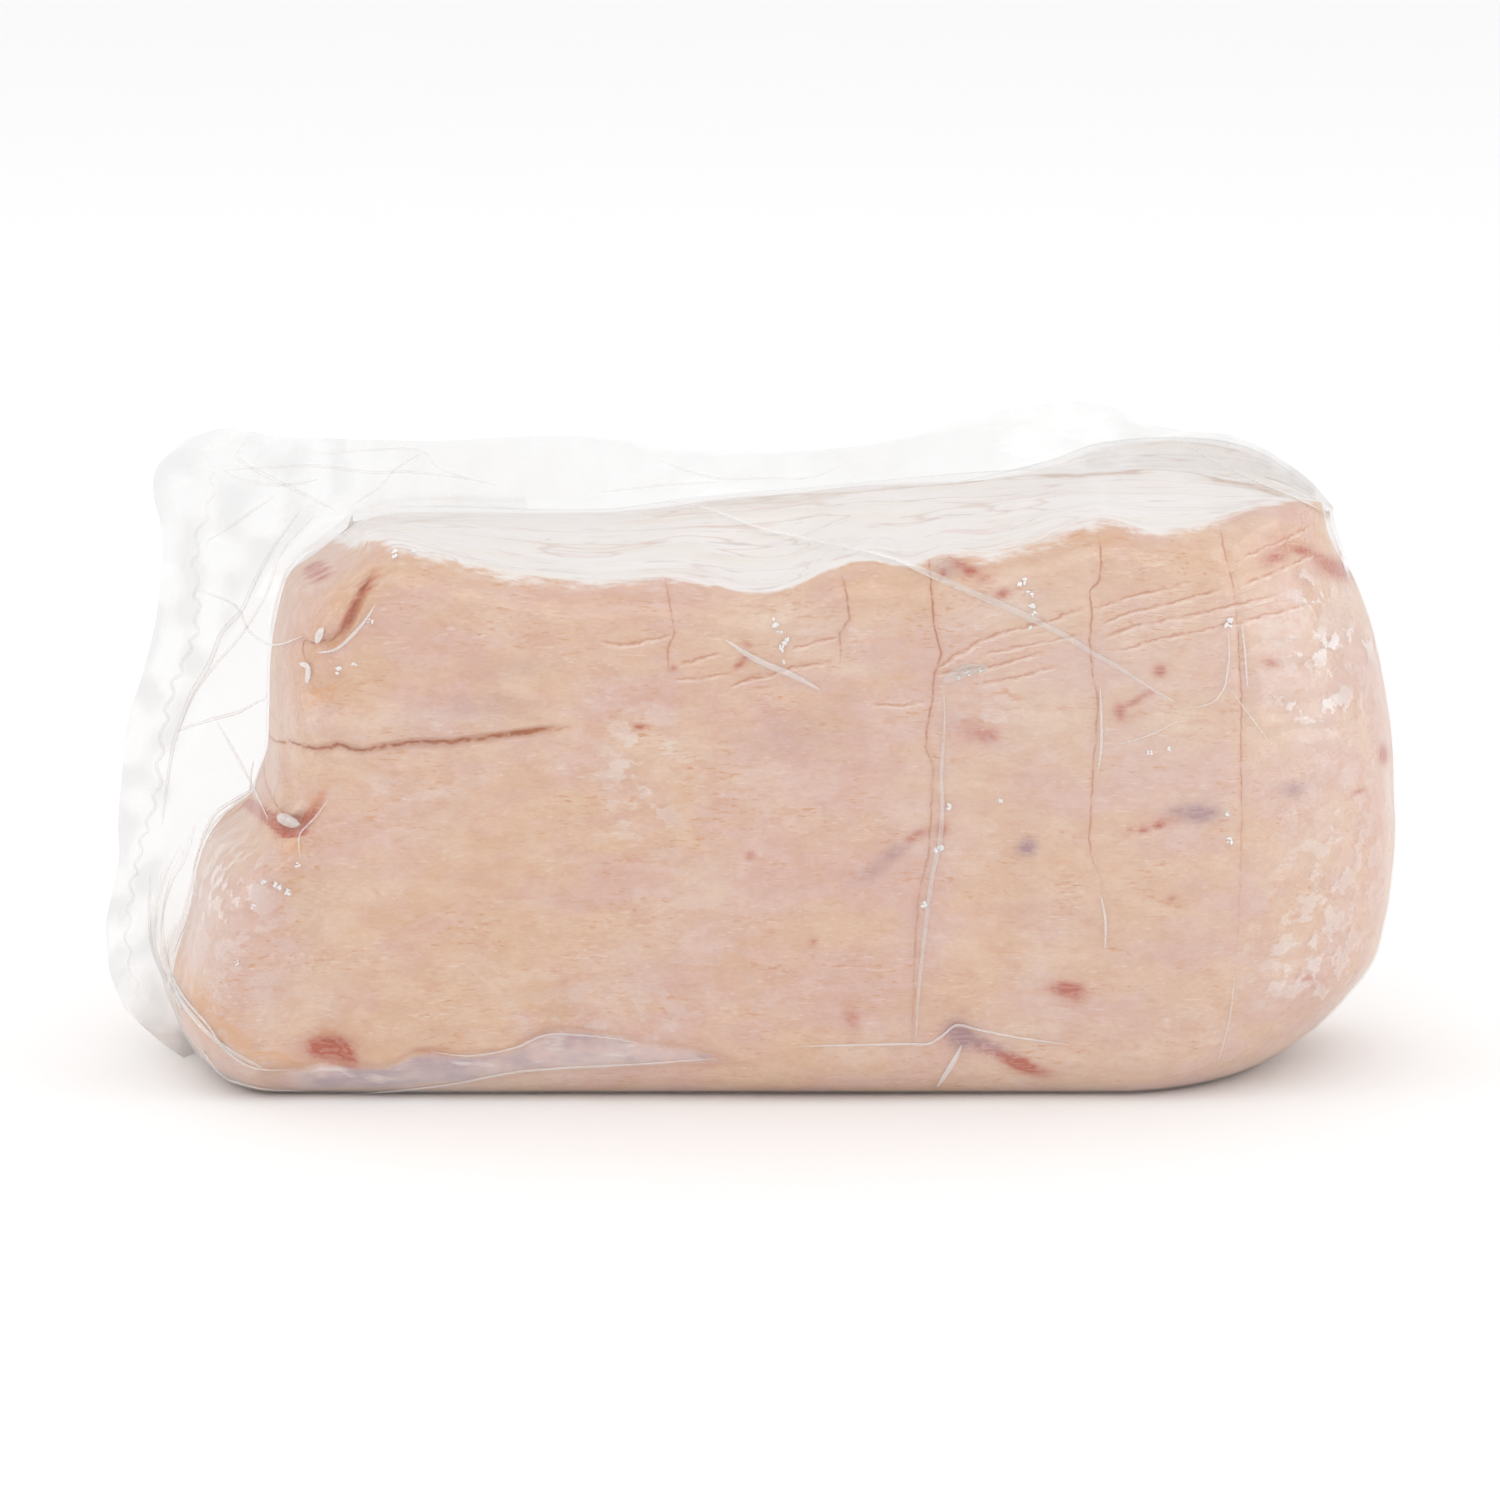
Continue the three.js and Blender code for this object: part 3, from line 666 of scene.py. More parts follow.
PURPLE_MARKS = [
    [73, 69.8, 2.6, 2.2, 25, 0.9], [118.8, 79, 4.8, 2.4, 0, 1.0], [112, 79.5, 4, 1.4, 0, 0.4],
    [55.4, 19, 3, 3.8, 30, 0.85], [62, 16.4, 7, 2, -18, 0.6], [51.4, 145.2, 4, 2, -15, 0.5],
    [143.3, 85.3, 2.8, 1.8, 10, 0.6], [38, 68.4, 4.4, 1.6, 25, 0.5],
    [32, 62.6, 6, 2.2, 25, 0.3], [-55.4, 15.6, 5, 3, 20, 0.7],
    [-70, 108, 14, 4, 5, 0.25], [-60, 118, 10, 3, 10, 0.15], [12, 100, 14, 6, 10, 0.15],
]
# Orange stains of the skin; those round the notch are painted tan shade below its fold
ORANGE_MARKS_AND_SHADE = [
    [40.6, 121.6, 3, 1.3, 20, 0.8], [38, 114.6, 7, 1.3, 6, 0.9], [31, 125, 8, 1.4, 5, 0.35],
    [60, 117.6, 12, 0.7, 5, 0.7], [78, 123, 5, 1, 8, 0.5], [100, 137.6, 14, 0.9, 12, 0.4],
    [81.7, 65.6, 6, 2, -8, 0.35], [96, 64, 3, 2, -30, 0.3], [58, 60, 8, 14, 0, 0.2],
    [-114, 112, 5, 2.5, 40, 0.6], [-96, 12, 9, 3, 0, 0.7], [-117, 80, 3, 4, -30, 0.55],
    [-124, 76, 6, 3.4, -30, 0.5], [-100.2, 140, 1, 5.5, -25, 1.6], [-120, 70.6, 2.6, 4, 0, 1.0],
    [-104.2, 131.4, 1, 5, -28, 2.0], [-109, 125, 4, 1, 18, 1.4], [-112, 111, 5, 2.6, 30, 0.7],
    [-114, 82.6, 1.6, 4.6, -35, 0.9], [-112, 134, 12, 16, 0, 0.35], [-134, 76, 7, 4, 30, 0.6],
    [-151.4, 38, 2.4, 7, 12, 1.7], [-147, 29.5, 2.6, 6.5, 30, 2.0],
    [-139, 20.4, 6, 2.8, -46, 2.0], [-131, 14, 6, 2.2, -32, 1.6], [-123, 11.6, 8, 2, -8, 1.4],
    [-111, 19, 7, 3, 0, 0.8], [-136, 82.5, 6, 1.6, 20, 0.5], [-125.8, 108, 1.6, 9, 0, 0.4],
    [-127.8, 88, 1.8, 6, -12, 0.4], [-116, 120, 4, 2, 0, 0.5],
    [119, 116, 2, 1.2, 0, 0.4], [68, 150, 16, 3, 8, 0.35], [92, 153, 8, 2.4, 0, 0.45],
    [26, 140, 10, 4, 0, 0.3], [-90, 60, 30, 16, 0, 0.2], [-96, 88, 20, 8, 0, 0.2],
    [-30, 132, 16, 3, 0, 0.2], [150, 152, 7, 3, -20, 0.3], [66, 46, 7, 14, 0, 0.25],
    [83, 31, 7, 1.2, 0, 0.45], [-52, 136, 20, 3, 0, 0.2],
]
# Broad zones of the rind that are warmer, or with a minus pinker
TONE_ZONES = [
    [-85, 42, 38, 34, 0, 0.75], [-80, 122, 30, 16, 0, 0.15], [-62, 108, 24, 9, 0, -0.35],
    [5, 62, 46, 55, 0, -0.55], [-17, 90, 3.4, 34, 0, 0.7], [62, 55, 12, 50, 0, 0.85],
    [108, 45, 26, 30, 0, 0.3], [112, 96, 24, 14, 0, -0.3], [154, 100, 12, 40, 0, -0.4],
    [92, 148, 56, 7, 0, 0.7], [30, 136, 26, 8, 0, 0.5], [-142, 50, 14, 26, 0, -0.5],
    [60, 102, 14, 9, 0, -0.6], [138, 147, 22, 9, 0, 0.6],
]
# Where the rind is paler, and where it is lightened as a painted highlight: on the slit's upper
# lip and in the hollow beside the curled fold
PALE_AND_HIGHLIGHT_ZONES = [
    [-144, 55, 10, 20, 0, 0.6], [150, 60, 18, 40, 0, 0.35], [60, 132, 10, 4, 0, 0.6],
    [34, 118, 10, 5, 0, 0.4], [-90, 104, 34, 3.4, 1, 0.8], [70, 8, 16, 4, 0, 0.4],
    [40, 105, 8, 6, 0, 0.3], [-120, 108, 6, 8, 0, 0.5], [72, 112, 18, 12, 8, 0.5],
    [106, 128, 18, 9, 10, 0.5], [140, 120, 12, 22, 0, 0.6], [-84, 91, 34, 8, 0, 0.25],
    [100, 12, 34, 8, 0, 0.4], [110, 100, 14, 12, 0, 0.35],
]
RIND_MARKS = {
    "red": RED_MARKS, "purple": PURPLE_MARKS, "orange": ORANGE_MARKS_AND_SHADE, "tone": TONE_ZONES,
    "pale": PALE_AND_HIGHLIGHT_ZONES,
}
# The lower edge of the rind and the bottom fold of the film, as [X, Z]
lower_edge_height = curve_through([
    [-130, 8.5], [-122.4, 9], [-117.1, 9.8], [-112.6, 10.6], [-108.6, 10.2], [-105, 9.6],
    [-94.9, 9.9], [-90.6, 12.4], [-84.5, 13.7], [-74.4, 13.2], [-64.1, 14.6], [-58, 17.5],
    [-50.3, 19.2], [-38, 18.6], [-30, 16.7], [-20, 15], [-8, 12.6], [0, 11],
])
fold_line_height = curve_through([
    [-117.2, 2.5], [-101, 3.1], [-80.6, 5.3], [-62.3, 8.8], [-49.8, 9.9], [-29.2, 11],
    [-7.9, 12.6],
])


def seen_from_front(points, eye):
    """X and Z where the lines from the eye to the points cross the plane of the rind face."""
    share = (FRONT_PLANE - eye[1]) / (points[..., 1] - eye[1])
    return [eye[k] + (points[..., k] - eye[k]) * share for k in (0, 2)]


# The brown line between two layers of the fat, as it is seen from the front
LAYER_LINE = [
    [-111, 155], [-92.9, 158.1], [-67.4, 161.9], [-55, 160.6], [-38.5, 160.6], [-16.5, 163.4],
    [11, 163.9], [38.5, 166.7], [66.5, 169.7], [93.8, 170.8], [115.6, 171.5], [131.9, 167.7],
    [142.8, 163.9], [151, 158.3],
]


def marks_at(marks, x, z):
    """A sum of tilted elliptical bells."""
    total = np.zeros(x.shape)
    for cx, cz, long, high, tilt, strength in marks:
        cos, sin = math.cos(math.radians(tilt)), math.sin(math.radians(tilt))
        along = (x - cx) * cos + (z - cz) * sin
        across = (z - cz) * cos - (x - cx) * sin
        total += strength * np.exp(-((along / long) ** 2) - (across / high) ** 2)
    return total


def fold_shade(fold, along):
    return mix(*fold.dark, along) * shown_along(fold, along)


def wrinkle_shade(wrinkle, along):
    return math.sqrt(wrinkle[1]) * (ease(along / 0.15) * ease((1 - along) / 0.2))


def nearest_line(lines, shade, x, z):
    """Signed distance to the nearest of the folds or wrinkles, and how strongly it shows there."""
    off = np.full(x.shape, FAR)
    shown = np.zeros(x.shape)
    for line in lines:
        away, along = beside_path(line[0], x, z)
        nearer = np.abs(away) < np.abs(off)
        off = np.where(nearer, away, off)
        shown = np.where(nearer, shade(line, along), shown)
    return off, shown


def edge_softness(x):
    """How gradually the rind gives way to the fat: crisp where the fat bulges, blurred beside."""
    crisp = ease((x + 24) / 10) * ease((52 - x) / 14)
    return 2.7 - 1.8 * crisp + 0.7 * ease((x - 112) / 14)


def below_rind(x, z):
    """How far places lie inside the strip between the rind's lower edge and the bottom fold."""
    below = np.minimum(lower_edge_height(x) - z, z - fold_line_height(x) + 1.0)
    below = np.minimum(below, np.minimum((x + 124) / 4, (-6 - x) / 4))
    return np.clip(below, -6, 6)


def rind_values(shell, eye):
    """The number fields that the meat's material reads. The folds and marks are on the front."""
    x, z = shell.points[:, 0], shell.points[:, 2]
    seen = seen_from_front(shell.points, eye)
    front = shell.on_front & (shell.steps < MEAT_STEPS)
    fold_off, fold_dark = nearest_line(FOLDS, fold_shade, x, z)
    wrinkle_off, wrinkle = nearest_line(WRINKLES, wrinkle_shade, x, z)
    over = 3.4 + 7 * ease((x - 114) / 16) + 14 * ease((-104 - x) / 10)
    layer_off, _ = beside_path(LAYER_LINE, *seen)
    marks = {name: marks_at(zones, *seen) * front for name, zones in RIND_MARKS.items()}
    return {
        "past_rind": (shell.surface_run() - over) / edge_softness(x),
        "below_rind": np.where(front, below_rind(x, z), -6.0),
        "layer_off": np.clip(layer_off, -FAR, FAR),
        "layer": (0.3 + 0.7 * ease((seen[0] - 20) / 60)) * shell.on_front,
        "fold_off": fold_off,
        "fold_dark": fold_dark * front,
        "wrinkle_off": wrinkle_off,
        "wrinkle": wrinkle * front * (np.abs(wrinkle_off) < WRINKLE_REACH),
        **marks,
    }


class Tree:
    """Adds nodes to one material. A value given to a socket is set, and a socket is linked."""

    def __init__(self, name):
        self.material = bpy.data.materials.new(name)
        self.material.use_nodes = True
        self.nodes = self.material.node_tree.nodes
        self.links = self.material.node_tree.links
        self.nodes.clear()
        self.place = self.node("ShaderNodeTexCoord").outputs["Object"]

    def node(self, kind, inputs=None, **options):
        node = self.nodes.new(kind)
        for key, value in options.items():
            setattr(node, key, value)
        for key, value in (inputs or {}).items():
            self.put(node.inputs[key], value)
        return node

    def put(self, socket, value):
        if isinstance(value, bpy.types.NodeSocket):
            self.links.new(value, socket)
        else:
            socket.default_value = value

    def math(self, operation, a, b=0.0, clamp=False):
        node = self.node("ShaderNodeMath", {0: a, 1: b}, operation=operation, use_clamp=clamp)
        return node.outputs[0]

    def times(self, product, *factors, clamp=False):
        for factor in factors[:-1]:
            product = self.math("MULTIPLY", product, factor)
        return self.math("MULTIPLY", product, factors[-1], clamp)

    def plus(self, a, b, clamp=False):
        return self.math("ADD", a, b, clamp)

    def field(self, name):
        return self.node("ShaderNodeAttribute", attribute_name=name).outputs["Fac"]

    def between(self, value, low, high, top=1.0):
        """0 below low, top above high, smooth in between."""
        inputs = {"Value": value, "From Min": low, "From Max": high, "To Max": top}
        return self.node(
            "ShaderNodeMapRange", inputs, interpolation_type="SMOOTHSTEP").outputs[0]

    def bell(self, distance, width):
        ratio = self.math("DIVIDE", distance, width)
        return self.math("EXPONENT", self.times(ratio, ratio, -1.0))

    def noise(self, size, stretch, detail, roughness, shift=0.0, twist=0.0):
        """Noise from 0 to 1 whose grains are about the given number of millimetres."""
        scale = tuple(1000.0 / (size * share) for share in stretch)
        mapping = self.node("ShaderNodeMapping", {
            "Vector": self.place, "Location": (shift, shift, shift), "Scale": scale})
        inputs = {
            "Vector": mapping.outputs[0], "Scale": 1.0, "Detail": detail, "Roughness": roughness,
            "Distortion": twist}
        return self.node("ShaderNodeTexNoise", inputs).outputs["Fac"]

    def shaken(self, value, noise, by):
        """A value moved up and down by noise, over a range of the given width."""
        return self.plus(self.plus(value, self.between(noise, 0.2, 0.8, by)), -by / 2)

    def blend(self, share, a, b, how="MIX"):
        node = self.node("ShaderNodeMix", {0: share}, data_type="RGBA", blend_type=how)
        for socket, value in ((node.inputs[6], a), (node.inputs[7], b)):
            self.put(socket, value if isinstance(value, bpy.types.NodeSocket) else (*value, 1.0))
        return node.outputs[2]

    def bump(self, height, millimetres, normal=None):
        inputs = {"Height": height, "Distance": millimetres * 0.001, "Strength": 0.6}
        if normal:
            inputs["Normal"] = normal
        return self.node("ShaderNodeBump", inputs).outputs[0]

    def surface(self, shader):
        out = self.node("ShaderNodeOutputMaterial")
        self.links.new(shader, out.inputs["Surface"])
        return self.material


# Colours of the finer layers of the rind, of its marks and its folds, of the fat, and of the strip
# below the rind. The folds' core holds painted shade, the wrinkles' lip a painted highlight, and
# some of the orange painted shade at the notch.
MARBLE_TINT = (0.94, 0.88, 0.83)
FLECK_BROWN = (0.66, 0.36, 0.20)
GRAIN_TINT = (0.9, 0.78, 0.7)
DASH_PALE = (0.88, 0.80, 0.75)
# Orange stains, and painted tan shade below the notch's fold
ORANGE_STAIN_AND_SHADE = (0.72, 0.40, 0.20)
STAIN_RED = (0.49, 0.10, 0.045)
STAIN_PURPLE = (0.38, 0.21, 0.24)
STAIN_FIBRE = (0.82, 0.62, 0.54)
FOLD_HALO = (0.68, 0.37, 0.24)
# Red-brown skin in the folds, darkened as painted shade of the groove
FOLD_CORE_AND_SHADE = (0.46, 0.155, 0.06)
WRINKLE_HALO = (0.76, 0.47, 0.33)
WRINKLE_CORE = (0.58, 0.29, 0.18)
# Painted highlight beside the wrinkles
WRINKLE_HIGHLIGHT = (0.92, 0.82, 0.76)
FAT_PINK = (0.76, 0.56, 0.53)
FAT_GREY = (0.60, 0.54, 0.56)
FAT_THREAD = (0.62, 0.45, 0.38)
FAT_SPOT = (0.52, 0.42, 0.36)
RIND_RIM = (0.66, 0.42, 0.30)
LAYER_BROWN = (0.55, 0.35, 0.23)
STRIP_PINK = (0.72, 0.55, 0.50)
STRIP_GREY = (0.46, 0.34, 0.38)
STRIP_VEIL = (0.84, 0.75, 0.72)
STRIP_EDGE = (0.58, 0.33, 0.22)
# Colours of the film: its haze, the painted shade where it is creased, and what one layer lets
# through of light
HAZE_WHITE = (0.97, 0.965, 0.96)
# Painted shade of creased loose film
CREASE_SHADE_GREY = (0.74, 0.74, 0.745)
BAG_TINT = (0.96, 0.958, 0.957)
PLEAT_TINT = (0.995, 0.99, 0.985)


def rind_colour(t, settings):
    """Pink to peach skin, marbled and streaked along the block, with short brown and pale
    fibres."""
    mottle = t.noise(15, (1.8, 1, 1), 4, 0.6)
    tone = t.plus(t.times(t.field("tone"), 0.42), t.between(mottle, 0.3, 0.7))
    colour = t.blend(t.between(tone, 0.05, 0.95), settings.rind_pink, settings.rind_peach)
    cloud = t.between(t.noise(20, (1.4, 1, 1), 3, 0.55, 7), 0.48, 0.7, 0.5)
    # The pale zones include painted highlights on the slit's upper lip and in a hollow
    pale = t.plus(cloud, t.times(t.field("pale"), 0.8), clamp=True)
    colour = t.blend(t.times(pale, 0.65), colour, settings.rind_pale)
    marble = t.between(t.noise(5, (1.8, 1, 1), 4, 0.65, 13, 0.6), 0.32, 0.68)
    colour = t.blend(marble, colour, MARBLE_TINT, "MULTIPLY")
    streak = t.between(t.noise(2.6, (2.6, 1, 1), 4, 0.62, 3), 0.51, 0.72, 0.6)
    colour = t.blend(streak, colour, settings.rind_tan)
    fleck = t.between(t.noise(0.9, (4, 1, 0.9), 2, 0.55, 19), 0.57, 0.7)
    area = t.between(t.noise(11, (1.8, 1, 1), 2, 0.5, 37), 0.46, 0.62, 0.85)
    colour = t.blend(t.times(fleck, area), colour, FLECK_BROWN)
    grain = t.between(t.noise(0.7, (2.4, 1, 1), 2, 0.6, 11), 0.3, 0.7, 0.35)
    colour = t.blend(grain, colour, GRAIN_TINT, "MULTIPLY")
    dash = t.between(t.noise(0.8, (4, 1, 0.9), 2, 0.55, 23), 0.56, 0.7)
    area = t.between(t.noise(9, (2, 1, 1), 2, 0.5, 31), 0.4, 0.62, 0.32)
    return t.blend(t.times(dash, area), colour, DASH_PALE)


def stained_colour(t, colour, ragged):
    """Orange, red and purple marks with ragged edges, crossed by pale fibres. Round the notch the
    orange is painted tan shade below its fold.
    """
    orange = t.times(t.field("orange"), t.between(ragged, 0.3, 0.72, 1.5), clamp=True)
    colour = t.blend(t.times(orange, 0.7), colour, ORANGE_STAIN_AND_SHADE)
    spots = t.noise(1.5, (1.3, 1, 1), 4, 0.7, 9)
    red = t.times(t.field("red"), t.between(spots, 0.15, 0.55, 1.8), clamp=True)
    colour = t.blend(t.times(red, 0.92), colour, STAIN_RED)
    purple = t.times(t.field("purple"), t.between(spots, 0.1, 0.55, 1.6), clamp=True)
    colour = t.blend(t.times(purple, 0.82), colour, STAIN_PURPLE)
    fibre = t.between(t.noise(0.8, (5, 1, 1), 2, 0.6, 29), 0.45, 0.6)
    stained = t.plus(purple, red, clamp=True)
    return t.blend(t.times(stained, fibre, 0.22), colour, STAIN_FIBRE)


def folded_colour(t, colour, ragged):
    """A dark, broken core in a brown halo along the folds. The core is red-brown skin darkened
    with painted shade of the groove.
    """
    dark = t.field("fold_dark")
    off = t.shaken(t.field("fold_off"), t.noise(3, (1, 1, 1), 2, 0.5, 15), 0.4)
    halo = t.times(t.bell(off, 1.1), dark, t.between(ragged, 0.2, 0.7, 0.45))
    colour = t.blend(halo, colour, FOLD_HALO)
    broken = t.between(t.noise(3, (1, 1, 1), 3, 0.65, 21), 0.34, 0.56, 0.95)
    core = t.times(t.bell(off, 0.24), dark, t.plus(broken, 0.2), clamp=True)
    return t.blend(core, colour, FOLD_CORE_AND_SHADE)


def wrinkled_colour(t, colour, ragged):
    """A thin brown line along the wrinkles, with a painted highlight as a pale lip beside it."""
    off = t.shaken(t.field("wrinkle_off"), t.noise(2.6, (1.6, 1, 1), 3, 0.6, 17), 1.0)
    shown = t.times(t.field("wrinkle"), t.between(ragged, 0.3, 0.56, 1.7), clamp=True)
    colour = t.blend(t.times(t.bell(off, 1.0), shown, 0.35), colour, WRINKLE_HALO)
    colour = t.blend(t.times(t.bell(off, 0.33), shown), colour, WRINKLE_CORE)
    # Painted highlight on one side of each wrinkle
    lip_highlight = t.times(t.bell(t.plus(off, 0.8), 0.38), shown, 0.4)
    return t.blend(lip_highlight, colour, WRINKLE_HIGHLIGHT)


def fat_colour(t, settings):
    """Nearly white fat with long cream streaks and short pink and grey ones."""
    cream = t.between(t.noise(7, (7, 1, 1), 4, 0.6, 41, 0.3), 0.45, 0.72, 0.8)
    colour = t.blend(cream, settings.fat_white, settings.fat_cream)
    pink = t.between(t.noise(5, (9, 1, 1), 4, 0.65, 47, 0.3), 0.58, 0.7, 0.5)
    colour = t.blend(pink, colour, FAT_PINK)
    grey = t.between(t.noise(2.2, (9, 1, 1), 3, 0.6, 53), 0.62, 0.7, 0.55)
    colour = t.blend(grey, colour, FAT_GREY)
    thread = t.bell(t.plus(t.noise(10, (9, 1, 1), 2, 0.5, 59), -0.5), 0.012)
    colour = t.blend(t.times(thread, 0.45), colour, FAT_THREAD)
    spot = t.between(t.noise(3.5, (1.5, 1, 1), 3, 0.6, 57), 0.72, 0.78, 0.7)
    return t.blend(spot, colour, FAT_SPOT)


def with_fat(t, colour, settings):
    """Past the uneven edge of the rind, the fat with the brown line between its two layers."""
    edge = t.noise(6, (2, 1, 1), 5, 0.65, 61)
    past = t.plus(t.field("past_rind"), t.between(edge, 0.2, 0.8, 2.6))
    past = t.plus(past, t.between(t.noise(1.6, (2.5, 1, 1), 3, 0.6, 63), 0.3, 0.7, 0.8))
    past = t.plus(past, -0.4)
    rim = t.times(t.bell(t.plus(past, -0.2), 0.9), t.between(edge, 0.35, 0.7, 0.3))
    colour = t.blend(rim, colour, RIND_RIM)
    colour = t.blend(t.between(past, 0.0, 2.4), colour, fat_colour(t, settings))
    off = t.shaken(t.field("layer_off"), edge, 1.6)
    layer = t.times(t.bell(off, 0.55), t.field("layer"), t.between(edge, 0.25, 0.5, 0.8))
    return t.blend(layer, colour, LAYER_BROWN)


def with_strip(t, colour):
    """Below the rind's lower edge, a strip of grey and pink under a fold of the film."""
    ragged = t.noise(3, (2, 1, 1), 3, 0.6, 67)
    under = t.plus(t.field("below_rind"), t.between(ragged, 0.2, 0.8, 1.4))
    cloud = t.between(t.noise(9, (2, 1, 1), 3, 0.6, 71), 0.35, 0.7)
    veil = t.between(t.noise(2.5, (6, 1, 1), 3, 0.6, 73), 0.52, 0.7, 0.7)
    strip = t.blend(veil, t.blend(cloud, STRIP_PINK, STRIP_GREY), STRIP_VEIL)
    colour = t.blend(t.times(t.bell(under, 0.9), 0.5), colour, STRIP_EDGE)
    return t.blend(t.between(under, 0.2, 2.4), colour, strip)


def pork_material(settings):
    t = Tree("pork")
    ragged = t.noise(2.4, (2.2, 1, 1), 4, 0.65, 5)
    colour = stained_colour(t, rind_colour(t, settings), ragged)
    colour = wrinkled_colour(t, folded_colour(t, colour, ragged), ragged)
    colour = with_strip(t, with_fat(t, colour, settings))
    skin = t.noise(0.9, (1.6, 1, 1), 3, 0.6, 81)
    coarse = t.noise(4.5, (1.6, 1, 1), 3, 0.5, 83)
    shader = t.node("ShaderNodeBsdfPrincipled", {
        "Base Color": colour,
        "Roughness": 0.6,
        "Specular IOR Level": 0.2,
        "Normal": t.bump(skin, 0.14, t.bump(coarse, 0.5)),
    })
    return t.surface(shader.outputs[0])


def film_material(settings, name, tint):
    """Clear film: a mirror share that grows at a glancing angle, and a white haze, over what is
    seen through it. The haze also holds painted highlights on the glint blisters and some pleats,
    and painted reflections of the lamps in the patches at the right end. The share of metal keeps
    the two apart in one shader. Loose film is creased, and made a little grey in patches as
    painted shade of its creases."""
    t = Tree(name)
    normal = t.bump(t.noise(2.6, (2.2, 1, 1), 3, 0.55, 91), 0.2)
    mirror = t.node("ShaderNodeFresnel", {"IOR": settings.film_ior, "Normal": normal}).outputs[0]
    mirror = t.math("MINIMUM", mirror, 0.3)
    patches = t.between(t.noise(6, (1.3, 1, 0.9), 4, 0.55, 97), 0.49, 0.58)
    # The grey field is painted shade of creased loose film; it greys the base colour and thickens
    # the haze
    grey = t.field("grey")
    # The haze field also holds painted highlights of the glint blisters and some pleats; the patchy
    # field holds painted reflections of the lamps at the right end
    haze = t.plus(t.field("haze"), t.times(t.field("patchy"), patches))
    haze = t.plus(t.plus(haze, grey), settings.film_haze)
    share = t.plus(mirror, haze, clamp=True)
    shader = t.node("ShaderNodeBsdfPrincipled", {
        "Base Color": t.blend(t.times(grey, 7.0, clamp=True), HAZE_WHITE, CREASE_SHADE_GREY),
        "Metallic": t.math("DIVIDE", mirror, t.plus(share, 0.0001), clamp=True),
        "Roughness": settings.film_roughness,
        "Normal": normal,
    })
    clear = t.node("ShaderNodeBsdfTransparent", {"Color": (*tint, 1.0)})
    mixed = t.node("ShaderNodeMixShader", {0: share, 1: clear.outputs[0], 2: shader.outputs[0]})
    return t.surface(mixed.outputs[0])


def floor_material(settings):
    t = Tree("pale_floor")
    grain = t.between(t.noise(60, (1, 1, 1), 4, 0.5), 0.3, 0.7, 0.02)
    colour = t.blend(grain, tuple(settings.floor_colour), (0.8, 0.8, 0.8))
    shader = t.node("ShaderNodeBsdfPrincipled", {
        "Base Color": colour, "Roughness": 0.8, "Specular IOR Level": 0.1})
    return t.surface(shader.outputs[0])


def meat_blocks():
    return [
        left_end_stations(28, least=0.0, most_flat=1.0, first=0),
        left_stations(58),
        upright_stations(upright_places(spacing=0.85, close=0.5, round_count=100)),
    ]


def bag_blocks():
    return [
        margin_stations(16),
        web_stations(6),
        left_end_stations(24, least=WEB_SHARE, most_flat=0.5, first=1),
        left_stations(50),
        upright_stations(upright_places(spacing=0.95, close=0.6, round_count=90)),
    ]


# Where the film over the rind looks whitish in patches; at the right end (X over 145, Z over
# 100) the patches are painted reflections of the lamps in the film
PATCHY_AND_REFLECTION_ZONES = [
    [-29, 88, 12, 24, 8, 0.24], [152, 62, 14, 28, -15, 0.2], [-136, 60, 10, 12, 20, 0.26],
    [146, 36, 14, 14, -30, 0.18], [-40, 24, 34, 9, 5, 0.16], [-134, 40, 14, 22, 0, 0.12],
    # Painted reflections of the lamps in the film at the right end
    [152, 124, 12, 5, 5, 0.45], [148, 109, 11, 7, 5, 0.4], [148, 138, 7, 2, 5, 0.3],
    [62, 104, 12, 8, 0, 0.14], [-92, 86, 24, 6, 0, 0.12], [145.5, 139, 2.4, 6.5, 28, 0.5],
    [156, 146, 1.8, 4.5, 25, 0.5],
]
# Where it looks evenly hazy
HAZE_ZONES = [
    [-85, 6, 40, 5, 2, 0.16], [-140, 12, 16, 8, -20, 0.12], [-40, 11, 16, 3, 8, 0.12],
    [95, 112, 55, 30, 0, 0.09], [100, 50, 60, 60, 0, 0.05], [152, 112, 16, 36, 0, 0.07],
    [0, 130, 44, 12, 0, 0.05], [-140, 52, 14, 20, 0, 0.06], [-95, 96, 40, 4, 0, 0.05],
]


def bag_shell():
    return Shell(bag_blocks(), BAG_ROWS, bag_relief, HALF_FILM)


def bag_values(shell, eye):
    """The number fields that the film's material reads: an even haze, whitish patches with painted
    reflections at the right end, and the grey of loose film that is crumpled, a painted shade of
    its creases."""
    x, z = shell.points[:, 0], shell.points[:, 2]
    seen = seen_from_front(shell.points, eye)
    front = shell.on_front & (shell.steps < MEAT_STEPS)
    margin = ease((shell.steps - MEAT_STEPS) / 0.5)
    left = ease((web_end(z) - x) / 4 + 0.5)
    loose = np.maximum(margin, left)
    creased = ease(0.5 + 0.7 * crumple_waves(x, z))
    return {
        "haze": marks_at(HAZE_ZONES, *seen) * front + 0.02 * loose,
        "patchy": marks_at(PATCHY_AND_REFLECTION_ZONES, *seen) * front,
        # Painted shade: crumpled loose film is greyed where it is creased
        "grey": 0.13 * loose * crumpled(x) * creased,
    }
